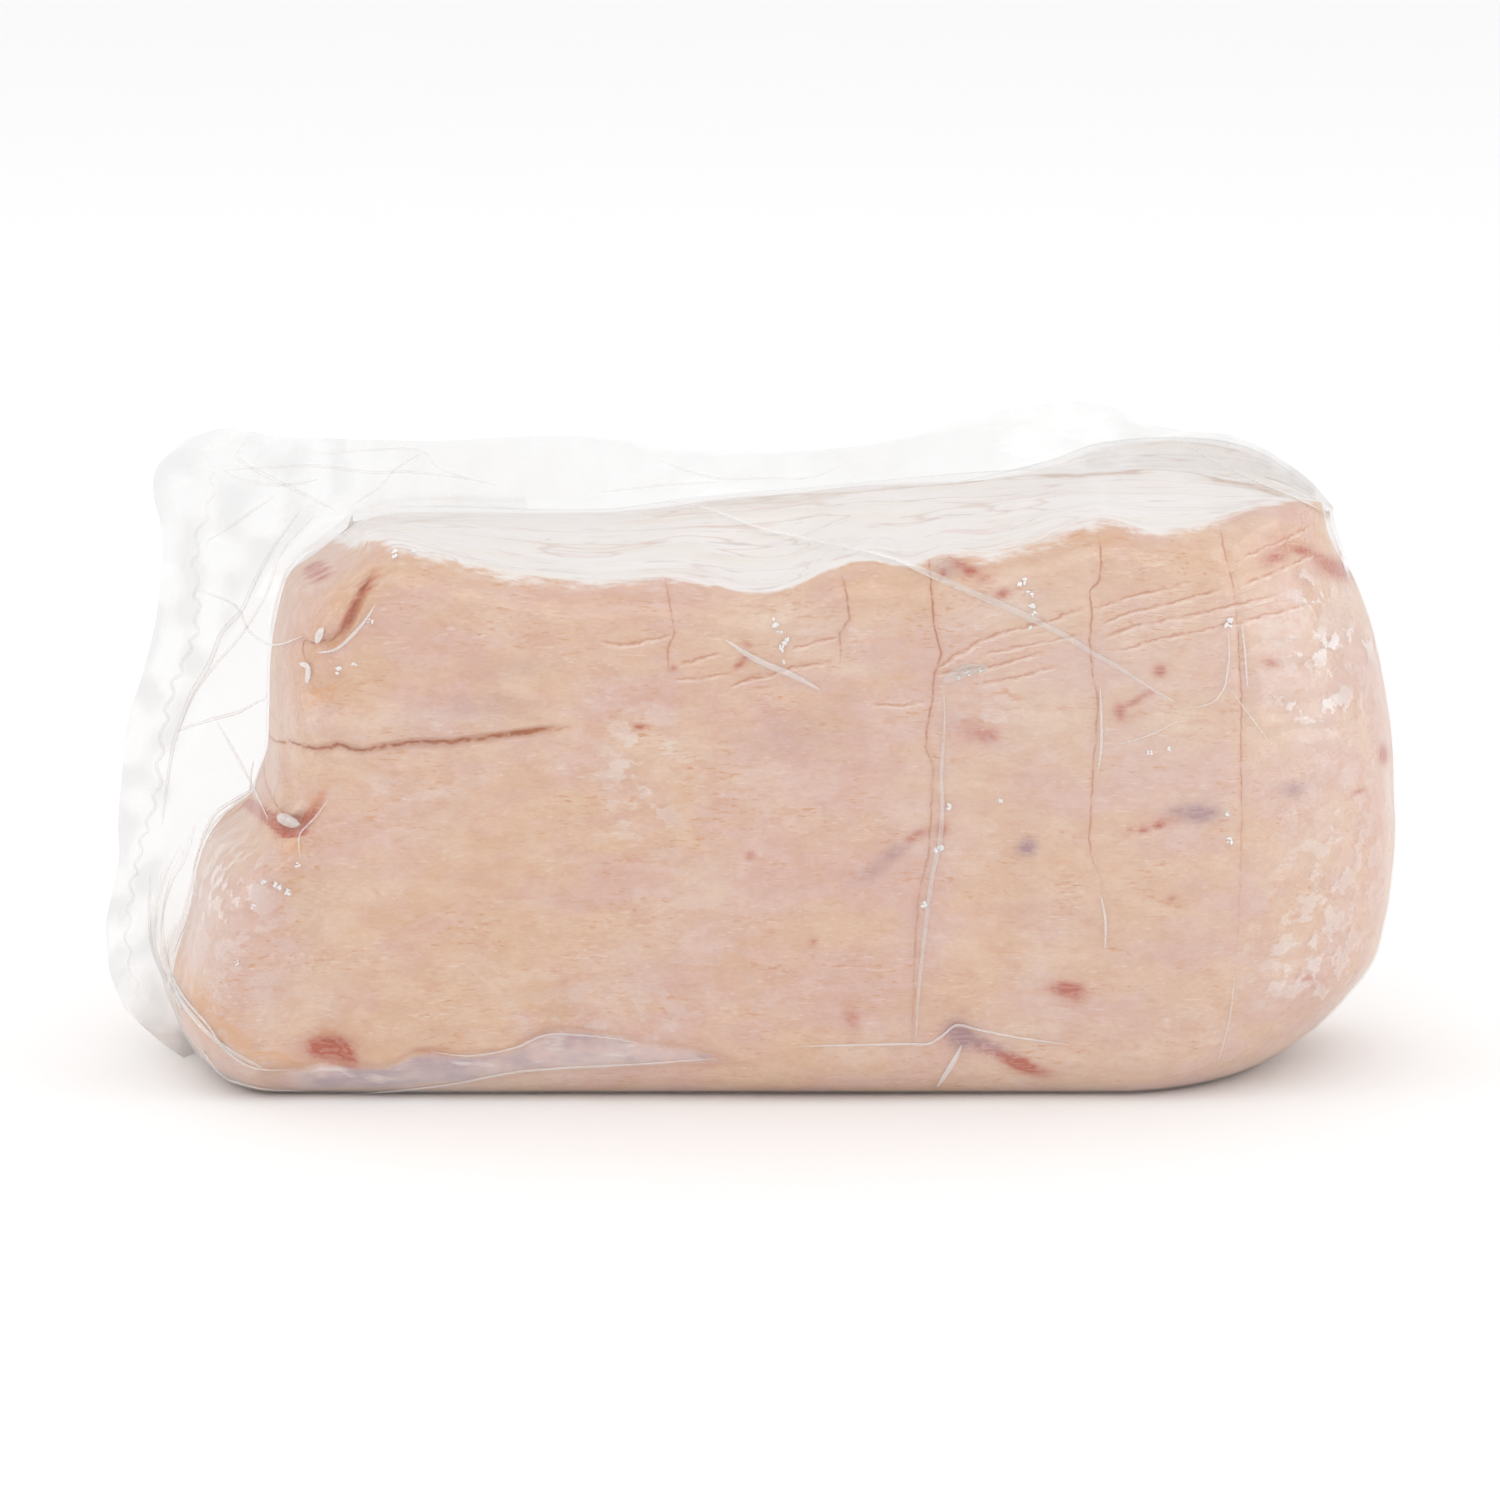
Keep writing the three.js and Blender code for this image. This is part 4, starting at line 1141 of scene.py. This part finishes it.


# Pleats of the film as the camera sees them: [X, Z] paths in the plane of the rind face, with
# the pleat's width and height in millimetres and how hazy it is. The white haze of the pleats
# beside the creases and along the curled fold's lip is painted highlight for the film's glints.
PLEATS = [
    ([[-22.4, 162.4], [-11.7, 160.6], [2.6, 155.3], [20.1, 151.3], [35.8, 147.6], [44.4, 144.2],
      [56.7, 138.8], [70.6, 132.7], [83, 126.3], [89.8, 122], [97.7, 117.5], [105.7, 112.2],
      [112, 108.7]], 1.7, 0.5, 0.12),
    ([[-6.5, 125.5], [1.8, 120.2], [10.5, 116.4], [18.4, 112.2]], 1.6, 0.6, 0.2),
    ([[125.1, 127.6], [125.5, 121.5], [125, 116.7], [124.3, 112.7], [121.4, 108.9],
      [116.2, 107.3]], 0.6, 0.4, 0.2),
    ([[128.6, 130.3], [129.5, 122.8], [130.4, 113]], 0.6, 0.4, 0.25),
    ([[125.3, 113], [131.2, 105.2], [137.3, 96.9]], 0.4, 0.25, 0.12),
    ([[96.4, 97.4], [105, 100.1], [112.8, 104.1]], 0.5, 0.25, 0.12),
    ([[13, 15.8], [29.1, 16.2], [42.4, 16.5], [47.4, 16.5], [51.1, 18.9], [54.5, 21.7],
      [59.6, 20.6], [69.9, 18.4], [85, 16.2]], 0.8, 0.5, 0.2),
    ([[56.1, 16.2], [53.5, 11], [49.6, 4.7]], 1.4, 0.7, 0.25),
    ([[128.2, 35.3], [126.8, 22.7], [124, 11]], 0.5, 0.25, 0.1),
    ([[-117.2, 2.5], [-101.1, 3.1], [-80.6, 5.3], [-62.3, 8.8], [-49.8, 9.9], [-29.2, 11],
      [-7.9, 12.6]], 0.7, 0.5, 0.14),
    ([[-84.5, 14.3], [-74.4, 13.2], [-62.2, 15.4], [-54, 18.9], [-39.7, 18.4], [-29.1, 16.7]],
     0.6, 0.3, 0.16),
    ([[-146, 76.1], [-149.6, 66.1], [-152.6, 61.5], [-155.4, 52.1], [-156, 46.2], [-155.2, 40.1]],
     2.2, 0.9, 0.16),
    ([[-150.5, 70.1], [-154.8, 61.1], [-157.4, 51.1], [-157.2, 42.1], [-153.8, 33.1], [-148, 25.1]],
     1.5, 0.7, 0.2),
    ([[-149.2, 52.1], [-152.8, 46.1], [-154.2, 40.1], [-152.2, 32.1], [-146.8, 23.5], [-139, 15.5],
      [-129.4, 10.0]], 1.7, 0.8, 0.16),
    ([[-97.9, 135.1], [-100.7, 130.7], [-104.4, 126.5], [-108.6, 122.9], [-113.4, 122.1]],
     0.9, 0.5, 0.3),
    ([[-110.9, 82.8], [-114.6, 77.7], [-118.6, 73.1], [-118.4, 66.4]], 0.6, 0.35, 0.16),
    ([[-158.1, 63.2], [-158.4, 46.7], [-156.4, 38.3], [-151.6, 29], [-147.7, 20.6],
      [-140.7, 8.8], [-131.5, 4.7], [-119.3, 3.6]], 1.1, 0.7, 0.16),
    ([[-152.6, 62.9], [-154.9, 51.8], [-154, 39.3], [-150, 29.8], [-143.5, 21.7],
      [-138.5, 14.3], [-131.5, 9.9], [-121.4, 9.4]], 0.8, 0.5, 0.18),
    ([[-146.5, 63.2], [-147.2, 55.1], [-150.8, 44.5], [-153, 40.4]], 0.8, 0.6, 0.25),
    ([[-130.3, 93.4], [-132.5, 85.1], [-140.8, 78.9], [-145.4, 68.6], [-147.1, 63.2]],
     1.0, 0.8, 0.3),
    ([[-117.4, 159.8], [-124, 150.8], [-129.1, 141.8], [-133.1, 133.2], [-138.2, 127.6],
      [-141.7, 119.1], [-146.6, 110.8], [-150.1, 101.7], [-151.8, 95.8], [-154.8, 75.6]],
     1.2, 0.8, 0.2),
    ([[-113.2, 159], [-122.5, 148.4], [-126.5, 137.5], [-134, 125.8], [-139.9, 119.1],
      [-145.8, 110.8], [-149.3, 102.5]], 0.8, 0.6, 0.2),
    ([[-137.6, 170.6], [-125.3, 171.4], [-112.3, 171.7], [-99.3, 170.1], [-88.1, 170.1],
      [-73.2, 168.3], [-65.2, 166.4]], 0.7, 0.5, 0.2),
    ([[-137.6, 170.6], [-132.6, 168.3], [-125.4, 166.9], [-118.8, 166.9], [-112.3, 168.3]],
     0.7, 0.5, 0.2),
    ([[-130.9, 178.8], [-133.6, 174.1], [-128.7, 170.6], [-117.3, 164.8], [-107.7, 159.8]],
     0.9, 0.6, 0.25),
    ([[-142, 151.6], [-135.4, 155.8], [-123.8, 164]], 0.6, 0.4, 0.2),
    ([[-110.7, 174.9], [-99.2, 175.9], [-85.4, 175.7], [-81.5, 171.4], [-73.2, 168.3]],
     0.6, 0.4, 0.15),
    ([[-104.3, 160.9], [-96.2, 166.4], [-92.7, 170.6], [-85.4, 175.1]], 0.6, 0.4, 0.15),
    ([[-144.6, 139.1], [-134.2, 134.3], [-130.9, 127.6], [-124.4, 124.2], [-117, 126.6]],
     0.7, 0.5, 0.25),
    ([[-150.9, 100.9], [-142, 104.1], [-133.5, 106.5], [-126.6, 110.8]], 0.9, 0.6, 0.25),
    ([[-140.1, 104.1], [-135.5, 95.8], [-130.7, 86.4], [-126.6, 77.2]], 0.8, 0.6, 0.2),
    ([[-24.2, 173.3], [-10.4, 168.8], [4.4, 168.5], [16.4, 168.8], [26.8, 173.3]],
     0.5, 0.4, 0.12),
    ([[-39.1, 164.8], [-21.6, 166.7], [-7.8, 167.5]], 0.5, 0.4, 0.12),
    ([[111.9, 178.6], [120.6, 173.3], [131.1, 168], [143.4, 162.7], [148.7, 160.1]],
     0.8, 0.6, 0.25),
    ([[-111.6, 128.9], [-113.8, 124.5]], 2.2, 0.8, 0.3),
    ([[-124.6, 78.2], [-118.4, 76.0]], 3.2, 1.4, 0.2),
    ([[-118.2, 119.2], [-115.6, 118.6], [-116.3, 113.6]], 1.8, 0.7, 0.3),
    ([[50.8, 112], [51.1, 104], [50.6, 96], [50.3, 88], [50.6, 80], [49.9, 71], [48.2, 63],
      [47.1, 55], [45.9, 44], [44.6, 30], [43.9, 17]], 1.3, 0.9, 0.1),
    ([[91.8, 113], [92.2, 104], [92.2, 96], [91.4, 90]], 0.8, 0.6, 0.2),
    ([[92.5, 57], [93.8, 50], [93.8, 42]], 0.7, 0.5, 0.25),
    ([[50.5, 114.3], [56, 117.2], [62.5, 118.2]], 3.2, 0.6, 0.1),
]
# Blisters of the film, hazed white as painted highlights where the film glints: X, Z and breadth
GLINT_BLISTERS = [
    [6.2, 130.2, 2.2], [7.8, 127.2, 1.3], [9.4, 125.2, 1.9], [8.2, 123.2, 1.7], [8.6, 119.6, 1.1],
    [71.4, 141.2, 2.0], [73.2, 137.8, 1.6], [74.2, 135.0, 1.9], [74.4, 132.6, 1.6],
    [73.4, 128.6, 1.1], [125.2, 130.0, 2.2], [125.5, 79.0, 1.2], [126.5, 71.8, 1.6],
    [51.9, 80.9, 1.6], [50.0, 69.7, 2.2], [46.4, 54.1, 2.0], [105.0, 95.4, 1.2],
    [110.4, 96.5, 1.3], [66.0, 82.0, 1.4], [-124.6, 59.2, 2.4], [-121.8, 57.6, 1.8],
    [-128.2, 60.6, 1.4], [-119, 64.9, 1.6], [-131, 54, 1.0], [-107.6, 117.4, 1.8],
    [-103.8, 119.4, 1.3], [-99.4, 130.6, 1.4], [-93.2, 148.4, 2.0], [-87.6, 148.8, 1.4],
    [-135.8, 38.5, 1.3], [56.8, 116.6, 1.3], [60.6, 117.6, 1.1], [54.4, 115.2, 1.2],
]
# The welded seam of the bag's mouth, which runs down the margin
SEAL = [
    [-141.1, 178.6], [-140.2, 165.1], [-144.9, 149.2], [-145, 128.7], [-151.5, 112.2],
    [-154.4, 98.8], [-155.9, 85.3], [-160.7, 69.1], [-163.5, 55.6], [-164.3, 42.1],
    [-161.4, 28.5],
]


def smooth_path(path, spacing):
    """A smooth curve through a path's points, sampled evenly along its length."""
    points = np.array(path, float)
    run = np.concatenate([[0], np.cumsum(np.linalg.norm(np.diff(points, axis=0), axis=1))])
    at = np.linspace(0, run[-1], max(int(run[-1] / spacing), 6))
    return np.stack([curve_through(np.stack([run, points[:, k]], 1))(at) for k in (0, 1)], 1)


def crossed(a, b):
    """The cross product of flat directions."""
    return a[:, 0] * b[:, 1] - a[:, 1] * b[:, 0]


class FilmView:
    """Finds the points of the bag's front sheet that the camera sees at places in the plane of
    the rind face: the nearest point of the sheet in that plane, then a step along the sheet."""

    def __init__(self, shell, eye):
        self.grid = shell.front
        count = self.grid.shape[0] * self.grid.shape[1]
        self.normals = shell.normals()[:count].reshape(self.grid.shape)
        self.seen = np.stack(seen_from_front(self.grid, eye), axis=-1)
        facing = np.sum(self.normals * (eye - self.grid), axis=-1) > 0
        self.flat = np.where(facing[..., None], self.seen, OUT_OF_SIGHT).reshape(-1, 2)

    def at(self, places):
        distance = ((self.flat[None, :, :] - places[:, None, :]) ** 2).sum(-1)
        rows, columns = np.unravel_index(distance.argmin(1), self.grid.shape[:2])
        rows = np.clip(rows, 1, self.grid.shape[0] - 2)
        columns = np.clip(columns, 1, self.grid.shape[1] - 2)
        across, across_seen = self._slopes(rows, columns, 0, 1)
        up, up_seen = self._slopes(rows, columns, 1, 0)
        short = places - self.seen[rows, columns]
        turn = crossed(across_seen, up_seen)
        turn = np.where(np.abs(turn) < 1e-6, 1e-6, turn)
        a = np.clip(crossed(short, up_seen) / turn, -1, 1)
        b = np.clip(crossed(across_seen, short) / turn, -1, 1)
        points = self.grid[rows, columns] + a[:, None] * across + b[:, None] * up
        return points, self.normals[rows, columns]

    def _slopes(self, rows, columns, down, right):
        """The step from point to point of the sheet, in space and as it is seen."""
        ahead = (rows + down, columns + right)
        behind = (rows - down, columns - right)
        return [(layer[ahead] - layer[behind]) / 2 for layer in (self.grid, self.seen)]


def smoothed(values, times):
    """Each value but the two end ones becomes the mean of itself and its neighbours."""
    for _ in range(times):
        inner = (values[:-2] + values[1:-1] + values[2:]) / 3
        values = np.concatenate([values[:1], inner, values[-1:]])
    return values


def pleat_mesh(points, normals, width, height):
    """A flattened tube carried along a path on the film: an ellipse in each cross-section that
    shrinks to almost nothing at both ends, where a face closes it."""
    points, normals = smoothed(points, 3), smoothed(normals, 6)
    forward = np.gradient(points, axis=0)
    forward /= np.linalg.norm(forward, axis=1, keepdims=True)
    beside = np.cross(forward, normals)
    beside /= np.maximum(np.linalg.norm(beside, axis=1, keepdims=True), 1e-9)
    upward = np.cross(beside, forward)
    t = np.linspace(0, 1, len(points))
    taper = 0.04 + np.sin(math.pi * t) ** 0.5
    angle = np.arange(PLEAT_SIDES) * 2 * math.pi / PLEAT_SIDES
    aside = width / 2 * taper[:, None] * np.cos(angle)
    above = height / 2 * taper[:, None] * (np.sin(angle) + 0.5)
    ring = points[:, None, :] + beside[:, None, :] * aside[..., None]
    ring = ring + upward[:, None, :] * above[..., None]
    grid = np.arange(len(points) * PLEAT_SIDES).reshape(len(points), PLEAT_SIDES)
    following = np.roll(grid, -1, axis=1)
    cells = np.stack([grid[:-1], grid[1:], following[1:], following[:-1]], axis=-1)
    caps = np.stack([grid[0], grid[-1][::-1]])
    return ring.reshape(-1, 3), cells.reshape(-1, 4), caps


def colour_setting(label, description, value):
    return bpy.props.FloatVectorProperty(
        name=label, description=description, subtype="COLOR", size=3, min=0, max=1, default=value)


def share_setting(label, description, value):
    return bpy.props.FloatProperty(
        name=label, description=description, subtype="FACTOR", min=0, max=1, default=value)


def plain_setting(label, description, value, **options):
    return bpy.props.FloatProperty(name=label, description=description, default=value, **options)


class RoastSettings(bpy.types.PropertyGroup):
    """Sizes and colours that a user would change."""

    skin_gap: plain_setting(
        "Skin gap", "How far the film stands off the meat, in millimetres", 0.5, min=0.1, max=2.0)
    rind_pink: colour_setting("Pink rind", "The cooler colour of the skin", (0.738, 0.522, 0.458))
    rind_peach: colour_setting("Peach rind", "The warmer colour of the skin", (0.768, 0.56, 0.42))
    rind_pale: colour_setting("Pale rind", "The palest colour of the skin", (0.825, 0.712, 0.64))
    rind_tan: colour_setting("Tan streaks", "The colour of the skin's streaks", (0.68, 0.42, 0.29))
    fat_white: colour_setting("White fat", "The colour of the fat", (0.868, 0.828, 0.806))
    fat_cream: colour_setting("Cream fat", "The colour of the fat's streaks", (0.83, 0.755, 0.685))
    film_ior: plain_setting("Film index", "Refractive index of the film", 1.5, min=1.0, max=2.0)
    film_haze: share_setting("Film haze", "White haze of one layer of film", 0.012)
    film_roughness: share_setting("Film roughness", "How soft its reflections are", 0.1)
    floor_colour: colour_setting("Floor", "Colour of the floor", (0.93, 0.93, 0.93))
    camera_distance: plain_setting(
        "Camera distance", "From the middle of the roast", 2.0, unit="LENGTH")
    camera_height: plain_setting(
        "Camera elevation", "Angle above the floor", math.radians(12), subtype="ANGLE")
    view_width: plain_setting(
        "View width", "Width of the picture at the roast", 0.405, unit="LENGTH")
    sky: plain_setting("Sky", "Strength of the even light from all round", 1.0)


def fat_furrows(x, y):
    """The cut fat on top is furrowed along the block."""
    fine = 0.35 * np.sin(y / 2.6 + 1.5 * waves(x * 0.25, y, 22, seed=13))
    return fine + 0.5 * waves(x * 0.3, y, 14, seed=17)


class ROAST_OT_meat(bpy.types.Operator):
    """Build the meat with its rind and its layer of fat"""

    bl_idname = "roast.meat"
    bl_label = "Meat"

    def execute(self, context):
        settings = context.scene.pork_roast
        shell = Shell(meat_blocks(), MEAT_ROWS, rind_relief, film=0.0)
        on_top = ease((shell.steps - EDGE_STEP) / 1.2)
        sink = FAT_SINK - fat_furrows(shell.points[:, 0], shell.points[:, 1])
        inwards = settings.skin_gap + on_top * sink
        points = shell.points - shell.normals() * inwards[:, None]
        piece = fill_mesh(
            "pork_block", points, [shell.quads, shell.joins],
            rind_values(shell, eye_place(settings)), pork_material(settings))
        declare(piece)
        return {"FINISHED"}


class ROAST_OT_bag(bpy.types.Operator):
    """Build the clear bag that is shrunk onto the meat"""

    bl_idname = "roast.bag"
    bl_label = "Bag"

    def execute(self, context):
        settings = context.scene.pork_roast
        shell = bag_shell()
        film = film_material(settings, "clear_film", BAG_TINT)
        piece = fill_mesh(
            "clear_bag", shell.points, [shell.quads, shell.joins],
            bag_values(shell, eye_place(settings)), film)
        declare(piece)
        return {"FINISHED"}


class ROAST_OT_pleats(bpy.types.Operator):
    """Build the pleats, the weld line and the glint blisters of the bag, whose white is painted
    highlight
    """

    bl_idname = "roast.pleats"
    bl_label = "Pleats"

    def execute(self, context):
        settings = context.scene.pork_roast
        view = FilmView(bag_shell(), eye_place(settings))
        make_pleats(view, film_material(settings, "creased_film", PLEAT_TINT))
        return {"FINISHED"}


def seal_path():
    """The welded seam of the bag's mouth, which runs in short waves."""
    seal = smooth_path(SEAL, SEAL_SPACING)
    run = np.arange(len(seal)) * SEAL_SPACING
    seal[:, 0] += 0.9 * np.sin(run / 1.1 + 1.5 * np.sin(run / 9))
    seal[:, 1] += 0.5 * np.sin(run / 1.7)
    return seal


def glint_blister_paths():
    """Each glint blister is a cluster of small lenses at seeded places and angles, hazed white as a
    painted highlight.
    """
    draw = np.random.default_rng(12)
    parts = []
    for x, z, breadth in GLINT_BLISTERS:
        for _ in range(LENSES):
            angle = draw.uniform(0, math.pi)
            middle = np.array([x, z]) + draw.uniform(-0.45, 0.45, 2) * breadth
            half = draw.uniform(0.2, 0.45) * breadth * np.array([math.cos(angle), math.sin(angle)])
            path = smooth_path([middle - half, middle + half], 0.2)
            parts.append((path, draw.uniform(0.3, 0.6) * breadth, 0.2 * breadth, 0.6))
    return parts


def make_pleats(view, film):
    """One piece of all pleats, the welded seam and the glint blisters, whose white haze is painted
    highlight.
    """
    parts = [(smooth_path(path, 0.6), *sizes) for path, *sizes in PLEATS]
    parts.append((seal_path(), 0.8, 0.5, 0.15))
    points, quads, caps, haze = [], [], [], []
    count = 0
    for path, width, height, share in parts + glint_blister_paths():
        ring, cells, ends = pleat_mesh(*view.at(path), width, height)
        points.append(ring)
        quads.append(cells + count)
        caps.append(ends + count)
        haze.append(np.full(len(ring), share))
        count += len(ring)
    values = {"haze": np.concatenate(haze), "patchy": np.zeros(count), "grey": np.zeros(count)}
    piece = fill_mesh(
        "film_pleats_and_glints", np.concatenate(points), [np.concatenate(quads), np.concatenate(caps)],
        values, film)
    declare(piece)


class ROAST_OT_stage(bpy.types.Operator):
    """Build the floor, the lights and the camera"""

    bl_idname = "roast.stage"
    bl_label = "Stage"

    def execute(self, context):
        settings = context.scene.pork_roast
        make_floor(settings)
        make_lights(settings)
        make_camera(settings)
        context.scene.view_settings.view_transform = "Standard"
        return {"FINISHED"}


FLOOR_HALF = 6.0  # half the breadth of the floor, in metres
LAMP_TARGET = (0, 0, 0.08)  # what the lamps point at, in metres


def make_floor(settings):
    corners = 1000.0 * FLOOR_HALF * np.array([[-1, -1, 0], [1, -1, 0], [1, 1, 0], [-1, 1, 0]])
    floor = fill_mesh("floor", corners, [np.array([[0, 1, 2, 3]])], {}, floor_material(settings))


def aim(item, place, target):
    item.location = place
    x, y, z = (t - p for t, p in zip(target, place))
    item.rotation_euler = (math.atan2(math.hypot(x, y), -z), 0, math.atan2(y, x) - math.pi / 2)


# Lights: name, place, size across and up, and power in watts
LIGHTS = [
    ("front_fill", (0.0, -2.6, 1.3), (2.0, 1.4), 8.0),
    ("top_light", (0.0, 0.4, 1.8), (3.2, 2.0), 5.0),
    ("right_panel", (1.3, -0.5, 0.4), (1.2, 0.9), 3.5),
    ("left_panel", (-1.5, -0.4, 0.6), (0.7, 1.0), 2.5),
]


def make_lights(settings):
    world = bpy.data.worlds.new("white_room")
    bpy.context.scene.world = world
    world.use_nodes = True
    background = world.node_tree.nodes["Background"]
    background.inputs["Color"].default_value = (1.0, 1.0, 1.0, 1.0)
    background.inputs["Strength"].default_value = settings.sky
    for name, place, (across, up), power in LIGHTS:
        data = bpy.data.lights.new(name, "AREA")
        data.shape = "RECTANGLE"
        data.size = across
        data.size_y = up
        data.energy = power
        lamp = bpy.data.objects.new(name, data)
        bpy.context.collection.objects.link(lamp)
        aim(lamp, place, LAMP_TARGET)


MIDDLE = np.array([0.0, 0.0, 84.7])  # what the camera looks at, in millimetres


def eye_place(settings):
    """The camera's place: out from the middle, along the front and up by its elevation."""
    angle = settings.camera_height
    way = np.array([0.0, -math.cos(angle), math.sin(angle)])
    return MIDDLE + 1000.0 * settings.camera_distance * way


def make_camera(settings):
    data = bpy.data.cameras.new("camera")
    data.sensor_fit = "HORIZONTAL"
    data.lens = data.sensor_width * settings.camera_distance / settings.view_width
    camera = bpy.data.objects.new("camera", data)
    bpy.context.collection.objects.link(camera)
    aim(camera, eye_place(settings) / 1000.0, MIDDLE / 1000.0)
    bpy.context.scene.camera = camera


class ROAST_PT_panel(bpy.types.Panel):
    """The roast's settings and the buttons that build it"""

    bl_idname = "ROAST_PT_panel"
    bl_label = "Pork Roast"
    bl_space_type = "VIEW_3D"
    bl_region_type = "UI"
    bl_category = "Pork Roast"

    def draw(self, context):
        column = self.layout.column()
        for name in RoastSettings.__annotations__:
            column.prop(context.scene.pork_roast, name)
        for operator in OPERATORS:
            column.operator(operator.bl_idname)


OPERATORS = (ROAST_OT_meat, ROAST_OT_bag, ROAST_OT_pleats, ROAST_OT_stage)
CLASSES = (RoastSettings, *OPERATORS, ROAST_PT_panel)


def register():
    for item in CLASSES:
        bpy.utils.register_class(item)
    bpy.types.Scene.pork_roast = bpy.props.PointerProperty(type=RoastSettings)


def unregister():
    del bpy.types.Scene.pork_roast
    for item in reversed(CLASSES):
        bpy.utils.unregister_class(item)


def main():
    register()
    bpy.ops.roast.meat()
    bpy.ops.roast.bag()
    bpy.ops.roast.pleats()
    bpy.ops.roast.stage()
    bpy.context.view_layer.update()


if __name__ == "__main__":
    main()
